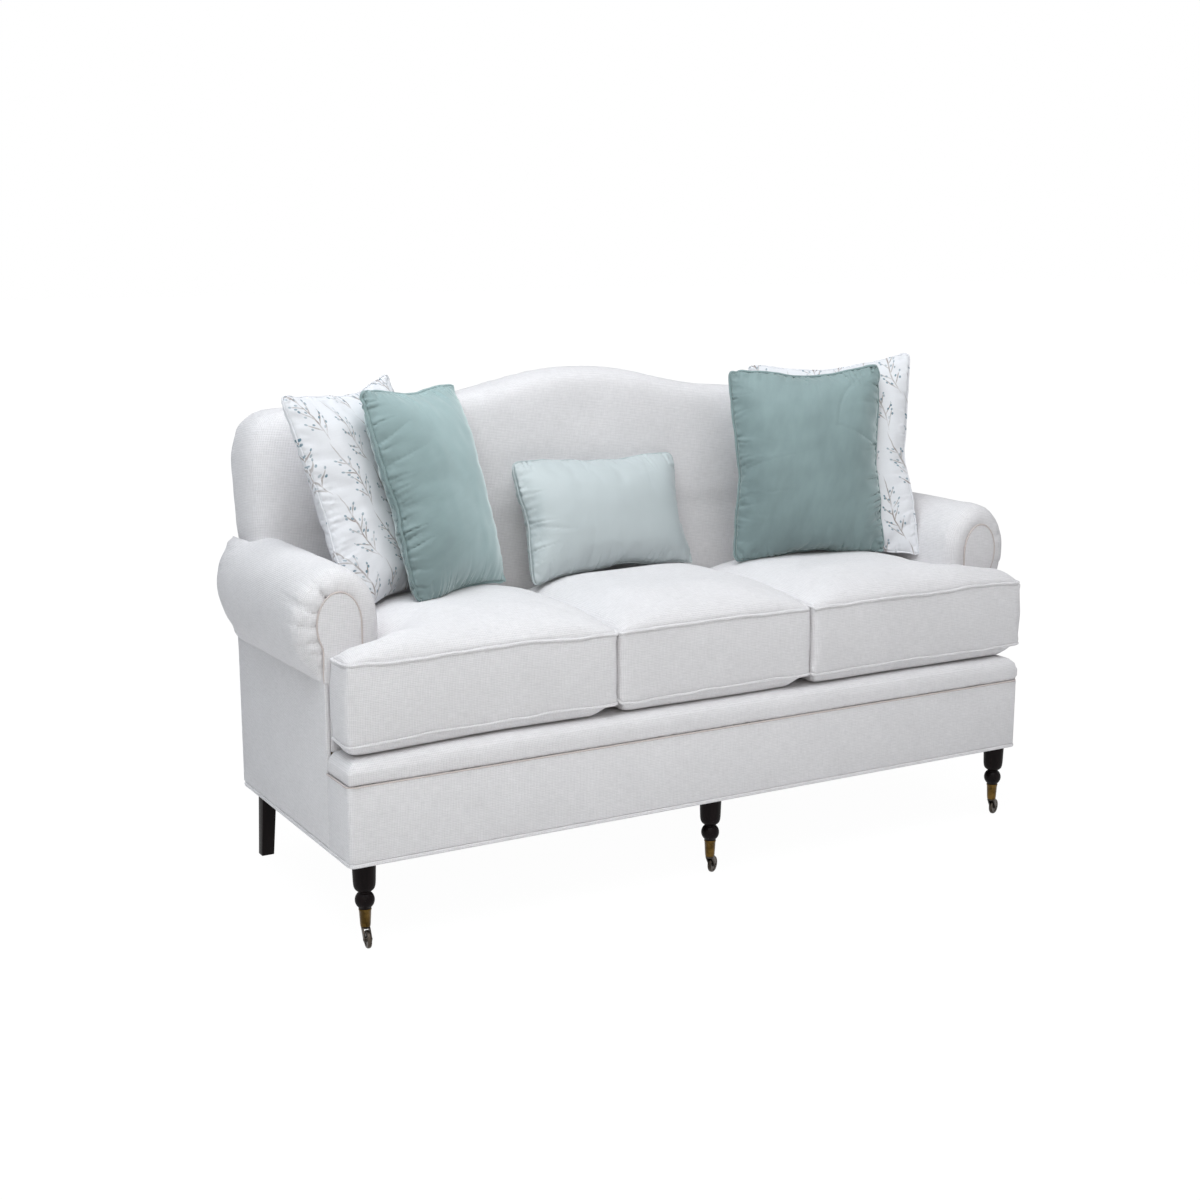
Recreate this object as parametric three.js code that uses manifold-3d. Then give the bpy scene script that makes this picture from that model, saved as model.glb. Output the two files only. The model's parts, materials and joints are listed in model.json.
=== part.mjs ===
// Camelback sofa with rolled arms, three loose seat cushions and five throw pillows.
// Millimetres. +X runs to the viewer's right as the sofa is faced, +Y to its back, +Z up.
// The pieces are laid out with the apron's front face at y = 0 and the floor at z = 0.

import * as THREE from 'three';
import { mergeVertices } from 'three/addons/utils/BufferGeometryUtils.js';
import Module from 'manifold-3d';

const wasm = await Module();
wasm.setup();

// Fits
const clearance = 0.3;
const overrun = 8;
const slidingGap = 1.2;
const softGap = 2.4;
const curveGap = 6;
const restGap = 4;
const weldTolerance = 0.0001;
const halfTurn = Math.PI;

// Base box
const baseWidth = 1582;
const baseDepth = 585;
const legHeight = 161;
const apronTop = 313.4;
const lipHeight = 51.6;
const armSetback = 104;
const coverThickness = 10;
const baseCorner = 10;
const coverCorner = 3;
const weltDiameter = 8;
const weltProud = 2;
const weltRoundShare = 0.3;
const dustThickness = 1.5;
const dustInset = 7;

// Hardwood frame
const boardThickness = 28;
const railHeight = 138;
const blockLeg = 80;
const blockHeight = 90;
const stretcherHeight = 90;
const postWidth = 45;
const armRailHeight = 28;
const topRailHeight = 85;
const topRailInset = 30;

// Seat springs
const springCount = 6;
const wireDiameter = 4;
const springHalfWidth = 24;
const springLoops = 9;
const springCrown = 14;
const springSpreadShare = 0.8;

// Back
const rakeDegrees = 8;
const bendHeight = 450;
const backThickness = 105;
const backHalfWidth = 774;
const shoulderHeight = 927;
const humpRise = 60;
const humpHalfWidth = 415;
const shoulderRadius = 80;
const backPadCrown = 6;
const wingHeight = 619.5;
const outsideInset = 14;
const backEdgeReach = 60;

// Rolled arms
const rollOverhang = 51.6;
const rollFront = { halfWidth: 85.3, halfHeight: 103, centreHeight: 589, seamHeight: 483 };
const rollRear = { halfWidth: 80.5, halfHeight: 97, centreHeight: 590, seamHeight: 469 };
const rollTurnDegrees = 42;
const armPadding = 23;
const armLining = 6;
const armFrontRound = 32;
const armFrontInset = 36;
const facingInset = 42;
const facingThickness = 8;
const armCoreTop = 603;

// Seat cushions and deck
const deckThickness = 43;
const cushionFront = 18;
const cushionSeamLow = 390;
const cushionSeamHigh = 531;
const cushionCrown = 54;
const crownReach = 110;
const bellyReach = 14;
const centreHalfWidth = 229.4;
const earOverhang = { left: -5.5, right: 20.6 };
const seatShift = 10;
const cushionBulge = 6;
const cushionDrawIn = 4;
const cushionCornerPull = 3;
const cushionPitch = 14;

// Turned front legs
const frontLegInset = 36.4;
const frontLegSetback = 27;
const legTopRadius = 22.2;
const legShoulderRadius = 20.6;
const vaseFootRadius = 15.5;
const neckRadius = 10.8;
const ballRadius = 18.4;
const ballHeight = 89.5;
const neckHeight = 105.5;
const vaseBulgeHeight = 121;
const vaseFlare = 3;
const vaseWaistShare = 0.92;
const ballDegrees = { from: -48, to: 55 };
const cupTop = 73;
const cupBottom = 38;
const cupTopRadius = 11.8;
const cupBottomRadius = 9.4;
const cupWall = 1.5;
const cupFloor = 12;
const turningSides = 18;

// Casters
const wheelRadius = 17;
const wheelWidth = 8;
const axleRadius = 1.8;
const boreRadius = 2.2;
const casterTrail = 13;
const forkPlate = 2.5;
const forkSideGap = 1.1;
const crownRadius = 8.6;
const crownThickness = 3;
const cheekShare = 0.68;
const pintleRadius = 3;
const pintleHeight = 9.5;
const hubRadius = 5;
const hubTurnShares = { start: 0.25, sweep: 1.15 };
const hubSteps = 6;
const treadRound = 1.4;
const wheelDish = 1.3;
const wheelHub = 5.4;
const casterTurnDegrees = { left: -97, centre: 32, right: 24 };

// Back legs
const backLegTop = 30;
const backLegFoot = { width: 27, depth: 22 };
const backLegInset = 44.4;
const backLegSetback = 20;
const backLegKick = 25;

// Throw pillows
const printPillow = { width: 366, height: 460, thickness: 118, drawnShare: 0.085 };
const velvetPillow = { width: 345, height: 436, thickness: 124, drawnShare: 0.05 };
const lumbarPillow = { width: 432, height: 268, thickness: 116, drawnShare: 0.04 };
const pillowEdge = 5;
const pillowGridCount = 12;
const pillowPuffShares = { power: 2.6, root: 0.62 };

// Where each pillow's middle stands, as shares of the seat's half width and of its depth,
// and how deep it settles into the seat as a share of its own height
const pillowPlaceShares = {
  print_left: { across: -0.845, deep: 0.862, settle: 0.072 },
  velvet_left: { across: -0.648, deep: 0.824, settle: 0.044 },
  lumbar: { across: -0.018, deep: 0.955, settle: 0.115 },
  velvet_right: { across: 0.66, deep: 0.707, settle: 0.062 },
  print_right: { across: 0.815, deep: 0.796, settle: 0.063 },
};
const pillowTurnDegrees = {
  print_left: { yaw: 33, lean: 17, roll: 3 },
  velvet_left: { yaw: 35, lean: 18, roll: -3 },
  lumbar: { yaw: 6, lean: 20, roll: -1.5 },
  velvet_right: { yaw: -20, lean: 8, roll: 0.9 },
  print_right: { yaw: -42, lean: 14.5, roll: 6 },
};

// Sizes that follow from the ones above
const baseHalf = baseWidth / 2;
const innerHalf = baseHalf - coverThickness;
const frameHalf = innerHalf - clearance;
const panelBottom = legHeight + weltDiameter + clearance;
const legTop = legHeight - clearance;
const railBottom = legHeight + dustThickness + clearance;
const railTop = railBottom + railHeight;
const lipTop = apronTop + lipHeight;
const rake = THREE.MathUtils.degToRad(rakeDegrees);
const rollCentre = baseHalf + rollOverhang - rollFront.halfWidth;
const armInner = rollCentre - rollFront.halfWidth;
const coreInner = armInner + armPadding;
const armTop = rollFront.centreHeight + rollFront.halfHeight;
const coreOuter = frameHalf - armLining;
const deckTop = lipTop;
const deckHalf = coreInner - clearance;
const padLowerHalf = deckHalf - clearance;
const cushionLow = deckTop + clearance;
const seatTop = cushionSeamHigh + cushionCrown;
const rearFrameFace = baseDepth - coverThickness - clearance;

// The soft covers and timbers, with the colour and finish of each
const finish = {
  linen: { color: 0xe3dfdb, roughness: 0.92, metalness: 0 },
  print: { color: 0xe4e8ec, roughness: 0.9, metalness: 0 },
  velvet: { color: 0x8fa8a0, roughness: 0.7, metalness: 0 },
  satin: { color: 0xaebdb6, roughness: 0.45, metalness: 0 },
  hardwood: { color: 0xb08f66, roughness: 0.8, metalness: 0 },
  espresso: { color: 0x1d1113, roughness: 0.35, metalness: 0 },
  brass: { color: 0x6d5523, roughness: 0.38, metalness: 1 },
  iron: { color: 0x3a3632, roughness: 0.45, metalness: 1 },
  springSteel: { color: 0x5d6064, roughness: 0.5, metalness: 1 },
  cambric: { color: 0x17171a, roughness: 0.95, metalness: 0 },
};

const sofa = new THREE.Group();

function addPiece(name, geometry, finishName, parent = sofa) {
  const mesh = new THREE.Mesh(geometry, new THREE.MeshStandardMaterial(finish[finishName]));
  mesh.name = name;
  parent.add(mesh);
  return mesh;
}

// Closed meshes and cuts
function welded(geometry) {
  const bare = new THREE.BufferGeometry();
  bare.setAttribute('position', geometry.getAttribute('position').clone());
  if (geometry.index) bare.setIndex(geometry.index.clone());
  const merged = mergeVertices(bare, weldTolerance);
  const kept = [];
  const corners = merged.index.array;
  for (let i = 0; i < corners.length; i += 3) {
    const [a, b, c] = [corners[i], corners[i + 1], corners[i + 2]];
    if (a !== b && b !== c && c !== a) kept.push(a, b, c);
  }
  merged.setIndex(kept);
  return merged;
}

function signedVolume(geometry) {
  const place = geometry.getAttribute('position');
  const corners = geometry.index.array;
  const [a, b, c] = [new THREE.Vector3(), new THREE.Vector3(), new THREE.Vector3()];
  let volume = 0;
  for (let i = 0; i < corners.length; i += 3) {
    a.fromBufferAttribute(place, corners[i]);
    b.fromBufferAttribute(place, corners[i + 1]);
    c.fromBufferAttribute(place, corners[i + 2]);
    volume += a.dot(b.cross(c)) / 6;
  }
  return volume;
}

function facingOut(geometry) {
  const closed = welded(geometry);
  if (signedVolume(closed) < 0) {
    const corners = closed.index.array;
    for (let i = 0; i < corners.length; i += 3) {
      [corners[i], corners[i + 1]] = [corners[i + 1], corners[i]];
    }
  }
  closed.computeVertexNormals();
  return closed;
}

function solidOf(geometry) {
  const closed = facingOut(geometry);
  return new wasm.Manifold(new wasm.Mesh({
    numProp: 3,
    vertProperties: new Float32Array(closed.getAttribute('position').array),
    triVerts: new Uint32Array(closed.index.array),
  }));
}

function geometryOf(solid) {
  const mesh = solid.getMesh();
  const geometry = new THREE.BufferGeometry();
  geometry.setAttribute('position', new THREE.BufferAttribute(new Float32Array(mesh.vertProperties), 3));
  geometry.setIndex(new THREE.BufferAttribute(new Uint32Array(mesh.triVerts), 1));
  geometry.computeVertexNormals();
  return geometry;
}

function cut(body, ...tools) {
  return geometryOf(tools.reduce((left, tool) => left.subtract(solidOf(tool)), solidOf(body)));
}

function joined(first, ...others) {
  return geometryOf(others.reduce((sum, other) => sum.add(solidOf(other)), solidOf(first)));
}

function common(first, second) {
  return geometryOf(solidOf(first).intersect(solidOf(second)));
}

function mirrored(geometry) {
  const copy = geometry.clone();
  copy.scale(-1, 1, 1);
  return facingOut(copy);
}

// Prisms of outlines drawn in each of the three planes
function shapeOf(points) {
  return new THREE.Shape(points.map(([a, b]) => new THREE.Vector2(a, b)));
}

function extruded(points, depth) {
  return new THREE.ExtrudeGeometry(shapeOf(points), { depth, bevelEnabled: false });
}

function prismXY(points, zLow, zHigh) {
  return facingOut(extruded(points, zHigh - zLow).translate(0, 0, zLow));
}

function prismXZ(points, yFront, yBack) {
  return facingOut(extruded(points, yBack - yFront).rotateX(halfTurn / 2).translate(0, yBack, 0));
}

function prismYZ(points, xLow, xHigh) {
  const turn = new THREE.Matrix4().makeBasis(
    new THREE.Vector3(0, 1, 0), new THREE.Vector3(0, 0, 1), new THREE.Vector3(1, 0, 0));
  return facingOut(extruded(points, xHigh - xLow).applyMatrix4(turn).translate(xLow, 0, 0));
}

function block(xLow, xHigh, yFront, yBack, zLow, zHigh) {
  const geometry = new THREE.BoxGeometry(xHigh - xLow, yBack - yFront, zHigh - zLow);
  return facingOut(geometry.translate((xLow + xHigh) / 2, (yFront + yBack) / 2, (zLow + zHigh) / 2));
}

// A turned piece from radius and height pairs, about the Z axis
function turned(profile, sides = turningSides) {
  const points = profile.map(([radius, height]) => new THREE.Vector2(radius, height));
  return facingOut(new THREE.LatheGeometry(points, sides).rotateX(halfTurn / 2));
}

// A skin through rings of equal count, with flat ends
function lofted(rings, flatten) {
  const places = [];
  const corners = [];
  const count = rings[0].length;
  rings.forEach((ring) => ring.forEach((point) => places.push(point.x, point.y, point.z)));
  for (let r = 0; r + 1 < rings.length; r += 1) {
    for (let i = 0; i < count; i += 1) {
      const next = (i + 1) % count;
      const [a, b] = [r * count + i, r * count + next];
      corners.push(a, b, b + count, a, b + count, a + count);
    }
  }
  const capAt = (ringIndex, flip) => {
    const outline = rings[ringIndex].map(flatten);
    THREE.ShapeUtils.triangulateShape(outline, []).forEach(([a, b, c]) => {
      const face = flip ? [c, b, a] : [a, b, c];
      corners.push(...face.map((corner) => corner + ringIndex * count));
    });
  };
  const windsForward = THREE.ShapeUtils.area(rings[0].map(flatten)) > 0;
  capAt(0, windsForward);
  capAt(rings.length - 1, !windsForward);
  const geometry = new THREE.BufferGeometry();
  geometry.setAttribute('position', new THREE.Float32BufferAttribute(places, 3));
  geometry.setIndex(corners);
  return facingOut(geometry);
}

// A soft body over a grid of cells: faces below and above, bands round the open edges.
// place(column, row, layer) gives the point; layer 0 is the underside, the last is the top.
function softBody(columnCount, rowCount, layerCount, isHeld, place) {
  const places = [];
  const corners = [];
  const known = new Map();
  const held = (i, j) => i >= 0 && j >= 0 && i + 1 < columnCount && j + 1 < rowCount && isHeld(i, j);
  const at = (i, j, k) => {
    const key = `${i},${j},${k}`;
    if (!known.has(key)) {
      const point = place(i, j, k);
      known.set(key, places.length / 3);
      places.push(point.x, point.y, point.z);
    }
    return known.get(key);
  };
  const top = layerCount - 1;
  const band = (from, to) => {
    for (let k = 0; k < top; k += 1) {
      const [a, b] = [at(...from, k), at(...to, k)];
      const [c, d] = [at(...to, k + 1), at(...from, k + 1)];
      corners.push(a, b, c, a, c, d);
    }
  };
  for (let j = 0; j + 1 < rowCount; j += 1) {
    for (let i = 0; i + 1 < columnCount; i += 1) {
      if (!held(i, j)) continue;
      const ring = [[i, j], [i + 1, j], [i + 1, j + 1], [i, j + 1]];
      const [a, b, c, d] = ring.map((node) => at(...node, top));
      corners.push(a, b, c, a, c, d);
      const [e, f, g, h] = ring.map((node) => at(...node, 0));
      corners.push(e, g, f, e, h, g);
      if (!held(i, j - 1)) band(ring[0], ring[1]);
      if (!held(i + 1, j)) band(ring[1], ring[2]);
      if (!held(i, j + 1)) band(ring[2], ring[3]);
      if (!held(i - 1, j)) band(ring[3], ring[0]);
    }
  }
  const geometry = new THREE.BufferGeometry();
  geometry.setAttribute('position', new THREE.Float32BufferAttribute(places, 3));
  geometry.setIndex(corners);
  return facingOut(geometry);
}

// Height of a rounded swell that starts at an edge and is full at a given reach
function swell(distance, reach) {
  const near = 1 - Math.min(Math.max(distance, 0) / reach, 1);
  return Math.sqrt(1 - near * near);
}

// Base frame
function frontRail() {
  const front = coverThickness + clearance;
  return block(-frameHalf, frameHalf, front, front + boardThickness, railBottom, railTop);
}

const railFrontBack = coverThickness + clearance + boardThickness;
const sideRailInner = frameHalf - boardThickness;

function sideRail() {
  return block(sideRailInner, frameHalf, railFrontBack + clearance, rearFrameFace, railBottom, railTop);
}

const backRailHalf = sideRailInner - clearance;
const backRailFront = rearFrameFace - boardThickness;

function backRail() {
  return block(-backRailHalf, backRailHalf, backRailFront, rearFrameFace, railBottom, railTop);
}

function centreStretcher() {
  const half = boardThickness / 2;
  const [front, back] = [railFrontBack + clearance, backRailFront - clearance];
  return block(-half, half, front, back, railBottom, railBottom + stretcherHeight);
}

function cornerBlock(isRear) {
  const x = sideRailInner - clearance;
  const y = isRear ? backRailFront - clearance : railFrontBack + clearance;
  const inward = isRear ? -blockLeg : blockLeg;
  return prismXY([[x, y], [x - blockLeg, y], [x, y + inward]], railBottom, railBottom + blockHeight);
}

function seatSpring(x) {
  const low = railTop + clearance + wireDiameter / 2;
  const [front, back] = [railFrontBack - boardThickness / 2, backRailFront + boardThickness / 2];
  const run = (back - front) / (springLoops + 1);
  const points = [new THREE.Vector3(x, front, low)];
  for (let loop = 0; loop < springLoops; loop += 1) {
    const side = loop % 2 ? -1 : 1;
    const share = (loop + 1) / (springLoops + 1);
    const height = low + springCrown * Math.sin(halfTurn * share);
    const across = x + side * springHalfWidth;
    const middle = front + run * (loop + 1);
    points.push(new THREE.Vector3(across, middle - run / 4, height));
    points.push(new THREE.Vector3(across, middle + run / 4, height));
  }
  points.push(new THREE.Vector3(x, back, low));
  const path = new THREE.CatmullRomCurve3(points);
  const half = wireDiameter / 2;
  const section = shapeOf([[-half, -half], [half, -half], [half, half], [-half, half]]);
  return facingOut(new THREE.ExtrudeGeometry(section, { steps: points.length * 2, extrudePath: path }));
}

function armPost() {
  const front = armSetback + armFrontRound + clearance;
  const top = armCoreTop - armRailHeight - 2 * clearance;
  return block(coreInner + clearance, coreOuter - clearance, front, front + boardThickness,
    railTop + clearance, top);
}

function armRail() {
  const front = armSetback + armFrontRound + clearance;
  const top = armCoreTop - clearance;
  const back = backRailFront - clearance;
  return block(coreInner + clearance, coreOuter - clearance, front, back, top - armRailHeight, top);
}

// The outside back: upright to the bend, then raked. depthIn is measured square to it.
function bendAt(depthIn) {
  return bendHeight + depthIn * Math.tan(rake / 2);
}

function outsideAt(height, depthIn) {
  return baseDepth - depthIn + Math.max(height - bendAt(depthIn), 0) * Math.tan(rake);
}

function bentStrip(frontDepth, backDepth, zLow, zHigh) {
  const corner = (height, depthIn) => [outsideAt(height, depthIn), height];
  return [corner(zLow, frontDepth), corner(zLow, backDepth), corner(bendAt(backDepth), backDepth),
    corner(zHigh, backDepth), corner(zHigh, frontDepth), corner(bendAt(frontDepth), frontDepth)];
}

function insideFaceAt(height) {
  return baseDepth + (height - bendHeight) * Math.tan(rake) - backThickness / Math.cos(rake);
}

// Height of the camelback outline over a place across, drawn in by an inset
function camelHeight(x, inset) {
  const reach = Math.min(Math.abs(x) / humpHalfWidth, 1);
  const hump = humpRise * (1 + Math.cos(halfTurn * reach)) / 2;
  const radius = shoulderRadius - inset;
  const past = Math.min(Math.max(Math.abs(x) - (backHalfWidth - shoulderRadius), 0), radius);
  return shoulderHeight - inset + hump - (radius - Math.sqrt(radius * radius - past * past));
}

const camelSteps = 22;
const cornerSteps = 6;

function camelPlaces(halfWidth, inset) {
  const flatHalf = backHalfWidth - shoulderRadius;
  const radius = Math.min(shoulderRadius - inset, halfWidth - flatHalf);
  const places = [];
  for (let i = 0; i <= cornerSteps; i += 1) {
    places.push(flatHalf + radius * Math.cos(halfTurn / 2 * i / cornerSteps));
  }
  for (let i = 1; i < camelSteps; i += 1) {
    places.push(flatHalf * (1 - 2 * i / camelSteps));
  }
  for (let i = cornerSteps; i >= 0; i -= 1) {
    places.push(-flatHalf - radius * Math.cos(halfTurn / 2 * i / cornerSteps));
  }
  return places;
}

function camelLine(halfWidth, inset) {
  return camelPlaces(halfWidth, inset).map((x) => [x, camelHeight(x, inset)]);
}

const outlineLow = legHeight - overrun;
const sheerBack = baseDepth + backThickness + baseDepth / 2;

function backPost() {
  const outer = backHalfWidth - topRailInset - clearance;
  const top = shoulderHeight - topRailInset - topRailHeight - clearance;
  const depth = coverThickness + clearance;
  const strip = bentStrip(depth + boardThickness, depth, railTop + clearance, top);
  return prismYZ(strip, outer - postWidth, outer);
}

function backTopRail() {
  const depth = coverThickness + clearance;
  const strip = bentStrip(depth + boardThickness, depth, railTop, shoulderHeight + humpRise);
  const upper = camelLine(backHalfWidth - topRailInset, topRailInset);
  const lower = upper.map(([x]) => [x, camelHeight(Math.min(Math.abs(x), humpHalfWidth), topRailInset)
    - topRailHeight]).reverse();
  const outline = prismXZ([...upper, ...lower], 0, sheerBack);
  return common(prismYZ(strip, -baseHalf, baseHalf), outline);
}

// Outline of the outside back panel, grown for the pocket that it lies in
function outsideOutline(grow) {
  const lowerHalf = innerHalf - clearance + grow;
  const step = armCoreTop - clearance + grow;
  const inset = outsideInset - grow;
  const line = camelLine(backHalfWidth - inset, inset);
  const upperHalf = line[0][0];
  return [[lowerHalf, outlineLow], [lowerHalf, step], [upperHalf, step], ...line,
    [-upperHalf, step], [-lowerHalf, step], [-lowerHalf, outlineLow]];
}

function outsideBackPanel() {
  const strip = bentStrip(coverThickness, 0, panelBottom, shoulderHeight + humpRise);
  return common(prismYZ(strip, -baseHalf, baseHalf), prismXZ(outsideOutline(0), 0, sheerBack));
}

// The space that the frame, the panel and their fits take out of the pads in front of them
function backPocket(grow) {
  const depth = coverThickness + boardThickness + 3 * clearance;
  const strip = bentStrip(depth, -overrun, outlineLow, shoulderHeight + humpRise);
  const outline = prismXZ(outsideOutline(grow), 0, sheerBack + overrun);
  return common(prismYZ(strip, -baseHalf, baseHalf), outline);
}

// Back pad: a raked slab with a crowned face, rolled edges and the camelback top
const padColumnShares = [0, 0.07, 0.15, 0.24, 0.33, 0.42, 0.52, 0.64, 0.76, 0.86, 0.93, 0.975, 1];
const padRowShares = [0, 0.34, 0.68, 0.89, 1];
const padRound = 18;
const padInsetShares = [0.33, 0, 0, 0.28, 1];
const padEdgeDepthShares = [0, 0.1, 0.55, 0.8, 0.955];
const nearShare = 0.012;

function backPad() {
  const inner = padLowerHalf / backHalfWidth;
  const rightShares = [...padColumnShares.filter((share) => Math.abs(share - inner) > nearShare), inner]
    .sort((a, b) => a - b);
  const columns = [...rightShares.slice(1).reverse().map((share) => -share), ...rightShares];
  const low = deckTop - overrun;
  const wingRow = 2;
  const rows = [low, (low + wingHeight) / 2, wingHeight, armTop + overrun];
  const rowCount = rows.length + padRowShares.length - 1;
  const top = padInsetShares.length - 1;
  const isHeld = (i, j) => j >= wingRow || Math.abs(columns[i] + columns[i + 1]) / 2 < inner;
  const slab = softBody(columns.length, rowCount, top + 1, isHeld, (i, j, k) => {
    const inset = padRound * padInsetShares[k];
    const across = columns[i];
    const inWing = Math.max((Math.abs(across) - inner) / (1 - inner), 0);
    const x = across * backHalfWidth - Math.sign(across) * inset * inWing;
    const start = rows[rows.length - 1];
    const roof = camelHeight(across * (backHalfWidth - inset), inset);
    const share = padRowShares[Math.max(j - rows.length + 1, 0)];
    const height = j < rows.length ? rows[j] : start + (roof - start) * share;
    const edge = backThickness * padEdgeDepthShares[k];
    const fromTop = camelHeight(x, 0) - height;
    const fromSide = backHalfWidth - Math.abs(x);
    const rise = k < top ? 0 : swell(fromTop, backEdgeReach) * swell(fromSide, backEdgeReach);
    const crown = backPadCrown * swell(height - start, humpHalfWidth);
    const depth = edge + (backThickness - edge + crown) * rise;
    return new THREE.Vector3(x, -depth, (height - bendHeight) / Math.cos(rake));
  });
  slab.rotateX(-rake).translate(0, baseDepth, bendHeight);
  const floor = block(-baseHalf, baseHalf, 0, baseDepth + overrun, 0, deckTop + clearance);
  return cut(slab, backPocket(0), floor);
}

// What the back pad takes out of an arm
function backSeat() {
  const strip = [[insideFaceAt(legHeight) - clearance, legHeight],
    [insideFaceAt(legHeight) + backThickness, legHeight],
    [insideFaceAt(shoulderHeight) + 2 * backThickness, shoulderHeight],
    [insideFaceAt(shoulderHeight) - clearance, shoulderHeight]];
  const [lower, upper] = [padLowerHalf + clearance, backHalfWidth + clearance];
  const step = wingHeight - clearance;
  const outline = [[0, legHeight], [lower, legHeight], [lower, step], [upper, step],
    [upper, shoulderHeight], [0, shoulderHeight]];
  return common(prismYZ(strip, 0, baseWidth), prismXZ(outline, 0, sheerBack));
}

// Rolled arm. The section is a scroll over an upright, drawn in by an inset for the front edge.
const rollSteps = 16;

function armSection(rollShape, inset, y) {
  const { halfWidth, halfHeight, centreHeight, seamHeight } = rollShape;
  const centre = armInner + halfWidth;
  const turn = THREE.MathUtils.degToRad(rollTurnDegrees);
  const points = [[armInner + inset, deckTop + clearance]];
  for (let i = 0; i <= rollSteps; i += 1) {
    const angle = halfTurn - (halfTurn + turn) * i / rollSteps;
    points.push([centre + (halfWidth - inset) * Math.cos(angle),
      centreHeight + (halfHeight - inset) * Math.sin(angle)]);
  }
  points.push([baseHalf, seamHeight], [frameHalf, seamHeight], [frameHalf, deckTop + clearance]);
  return points.map(([x, z]) => new THREE.Vector3(x, y, z));
}

function facingOutline(inset) {
  return armSection(rollFront, inset, 0).map(({ x, z }) => [x, z]);
}

const frontRoundSteps = 5;

function armPad() {
  const rings = [];
  for (let i = 0; i <= frontRoundSteps; i += 1) {
    const angle = halfTurn / 2 * i / frontRoundSteps;
    const y = armSetback + armFrontRound * (1 - Math.cos(angle));
    rings.push(armSection(rollFront, armFrontInset * (1 - Math.sin(angle)), y));
  }
  rings.push(armSection(rollRear, 0, baseDepth + backThickness));
  const whole = lofted(rings, (point) => new THREE.Vector2(point.x, point.z));
  const channel = block(coreInner, coreOuter, armSetback + armFrontRound, sheerBack, 0, armCoreTop);
  const recess = prismXZ(grownFacing(), 0, armSetback + facingThickness + clearance);
  const behind = prismYZ(bentStrip(0, -sheerBack, 0, shoulderHeight), 0, baseWidth);
  return cut(whole, channel, recess, behind, backPocket(clearance), backSeat());
}

function grownFacing() {
  const outline = facingOutline(facingInset - clearance);
  const last = outline.length - 1;
  outline[last][1] -= overrun;
  outline[0][1] -= overrun;
  outline[last][0] += overrun;
  outline[last - 1][0] += overrun;
  outline[last - 2][0] += overrun;
  return outline;
}

function armFacing() {
  return prismXZ(facingOutline(facingInset), armSetback, armSetback + facingThickness);
}

// Base covers
function sidePanel() {
  const top = (height) => height - clearance;
  const outline = [[armSetback, panelBottom], [baseDepth, panelBottom],
    [outsideAt(bendHeight, 0), bendHeight], [outsideAt(rollRear.seamHeight, 0), top(rollRear.seamHeight)],
    [armSetback, top(rollFront.seamHeight)]];
  return prismYZ(outline, innerHalf, baseHalf);
}

function cornerArc(x, y, radius, fromTurns) {
  const steps = 4;
  return Array.from({ length: steps + 1 }, (_, i) => {
    const angle = halfTurn / 2 * (fromTurns + i / steps);
    return [x + radius * Math.cos(angle), y + radius * Math.sin(angle)];
  });
}

function frontApron() {
  const back = armSetback - clearance;
  const [outer, inner] = [baseHalf, innerHalf];
  const near = baseCorner;
  const outline = [[-inner, back], [-outer, back],
    ...cornerArc(-outer + near, near, near, 2), ...cornerArc(outer - near, near, near, 3),
    [outer, back], [inner, back], [inner, coverThickness], [-inner, coverThickness]];
  return prismXY(outline, panelBottom, apronTop - clearance);
}

const lipRound = 26;
const lipInsetShares = [0.08, 0, 0.02, 0.2, 0.54, 1];
const lipHeightShares = [0, 0.25, 0.55, 0.78, 0.93, 1];
const lipColumnShares = [-1, -0.98, -0.94, -0.5, 0, 0.5, 0.94, 0.98, 1];
const lipRowShares = [0, 0.2, 0.5, 1];

function deckLip() {
  const depth = armSetback - clearance;
  const counts = [lipColumnShares.length, lipRowShares.length, lipInsetShares.length];
  return softBody(...counts, () => true, (i, j, k) => {
    const inset = lipRound * lipInsetShares[k];
    const back = lipRowShares[j] === 1;
    const x = lipColumnShares[i] * (baseHalf - inset);
    const y = back ? depth : inset + (depth - inset) * lipRowShares[j];
    return new THREE.Vector3(x, y, apronTop + lipHeight * lipHeightShares[k]);
  });
}

function deckPad() {
  const back = backRailFront - clearance;
  return block(-deckHalf, deckHalf, armSetback, back, deckTop - deckThickness, deckTop);
}

function dustCover() {
  const half = baseHalf - dustInset;
  return block(-half, half, dustInset, baseDepth - dustInset, legHeight, legHeight + dustThickness);
}

function bottomWelt() {
  const round = weltDiameter * weltRoundShare;
  const outline = (reach, radius) => {
    const [half, front, back] = [baseHalf + reach, -reach, baseDepth + reach];
    return [...cornerArc(half - radius, back - radius, radius, 0),
      ...cornerArc(-half + radius, back - radius, radius, 1),
      ...cornerArc(-half + radius, front + radius, radius, 2),
      ...cornerArc(half - radius, front + radius, radius, 3)];
  };
  const shape = shapeOf(outline(weltProud, baseCorner + weltProud));
  const hole = outline(weltProud - weltDiameter, baseCorner + weltProud - weltDiameter);
  shape.holes.push(new THREE.Path(hole.reverse().map(([x, y]) => new THREE.Vector2(x, y))));
  const band = new THREE.ExtrudeGeometry(shape, {
    depth: weltDiameter - 2 * round,
    bevelThickness: round,
    bevelSize: round,
    bevelOffset: -round,
    bevelSegments: 2,
  });
  return facingOut(band.translate(0, 0, legHeight + round));
}

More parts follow.
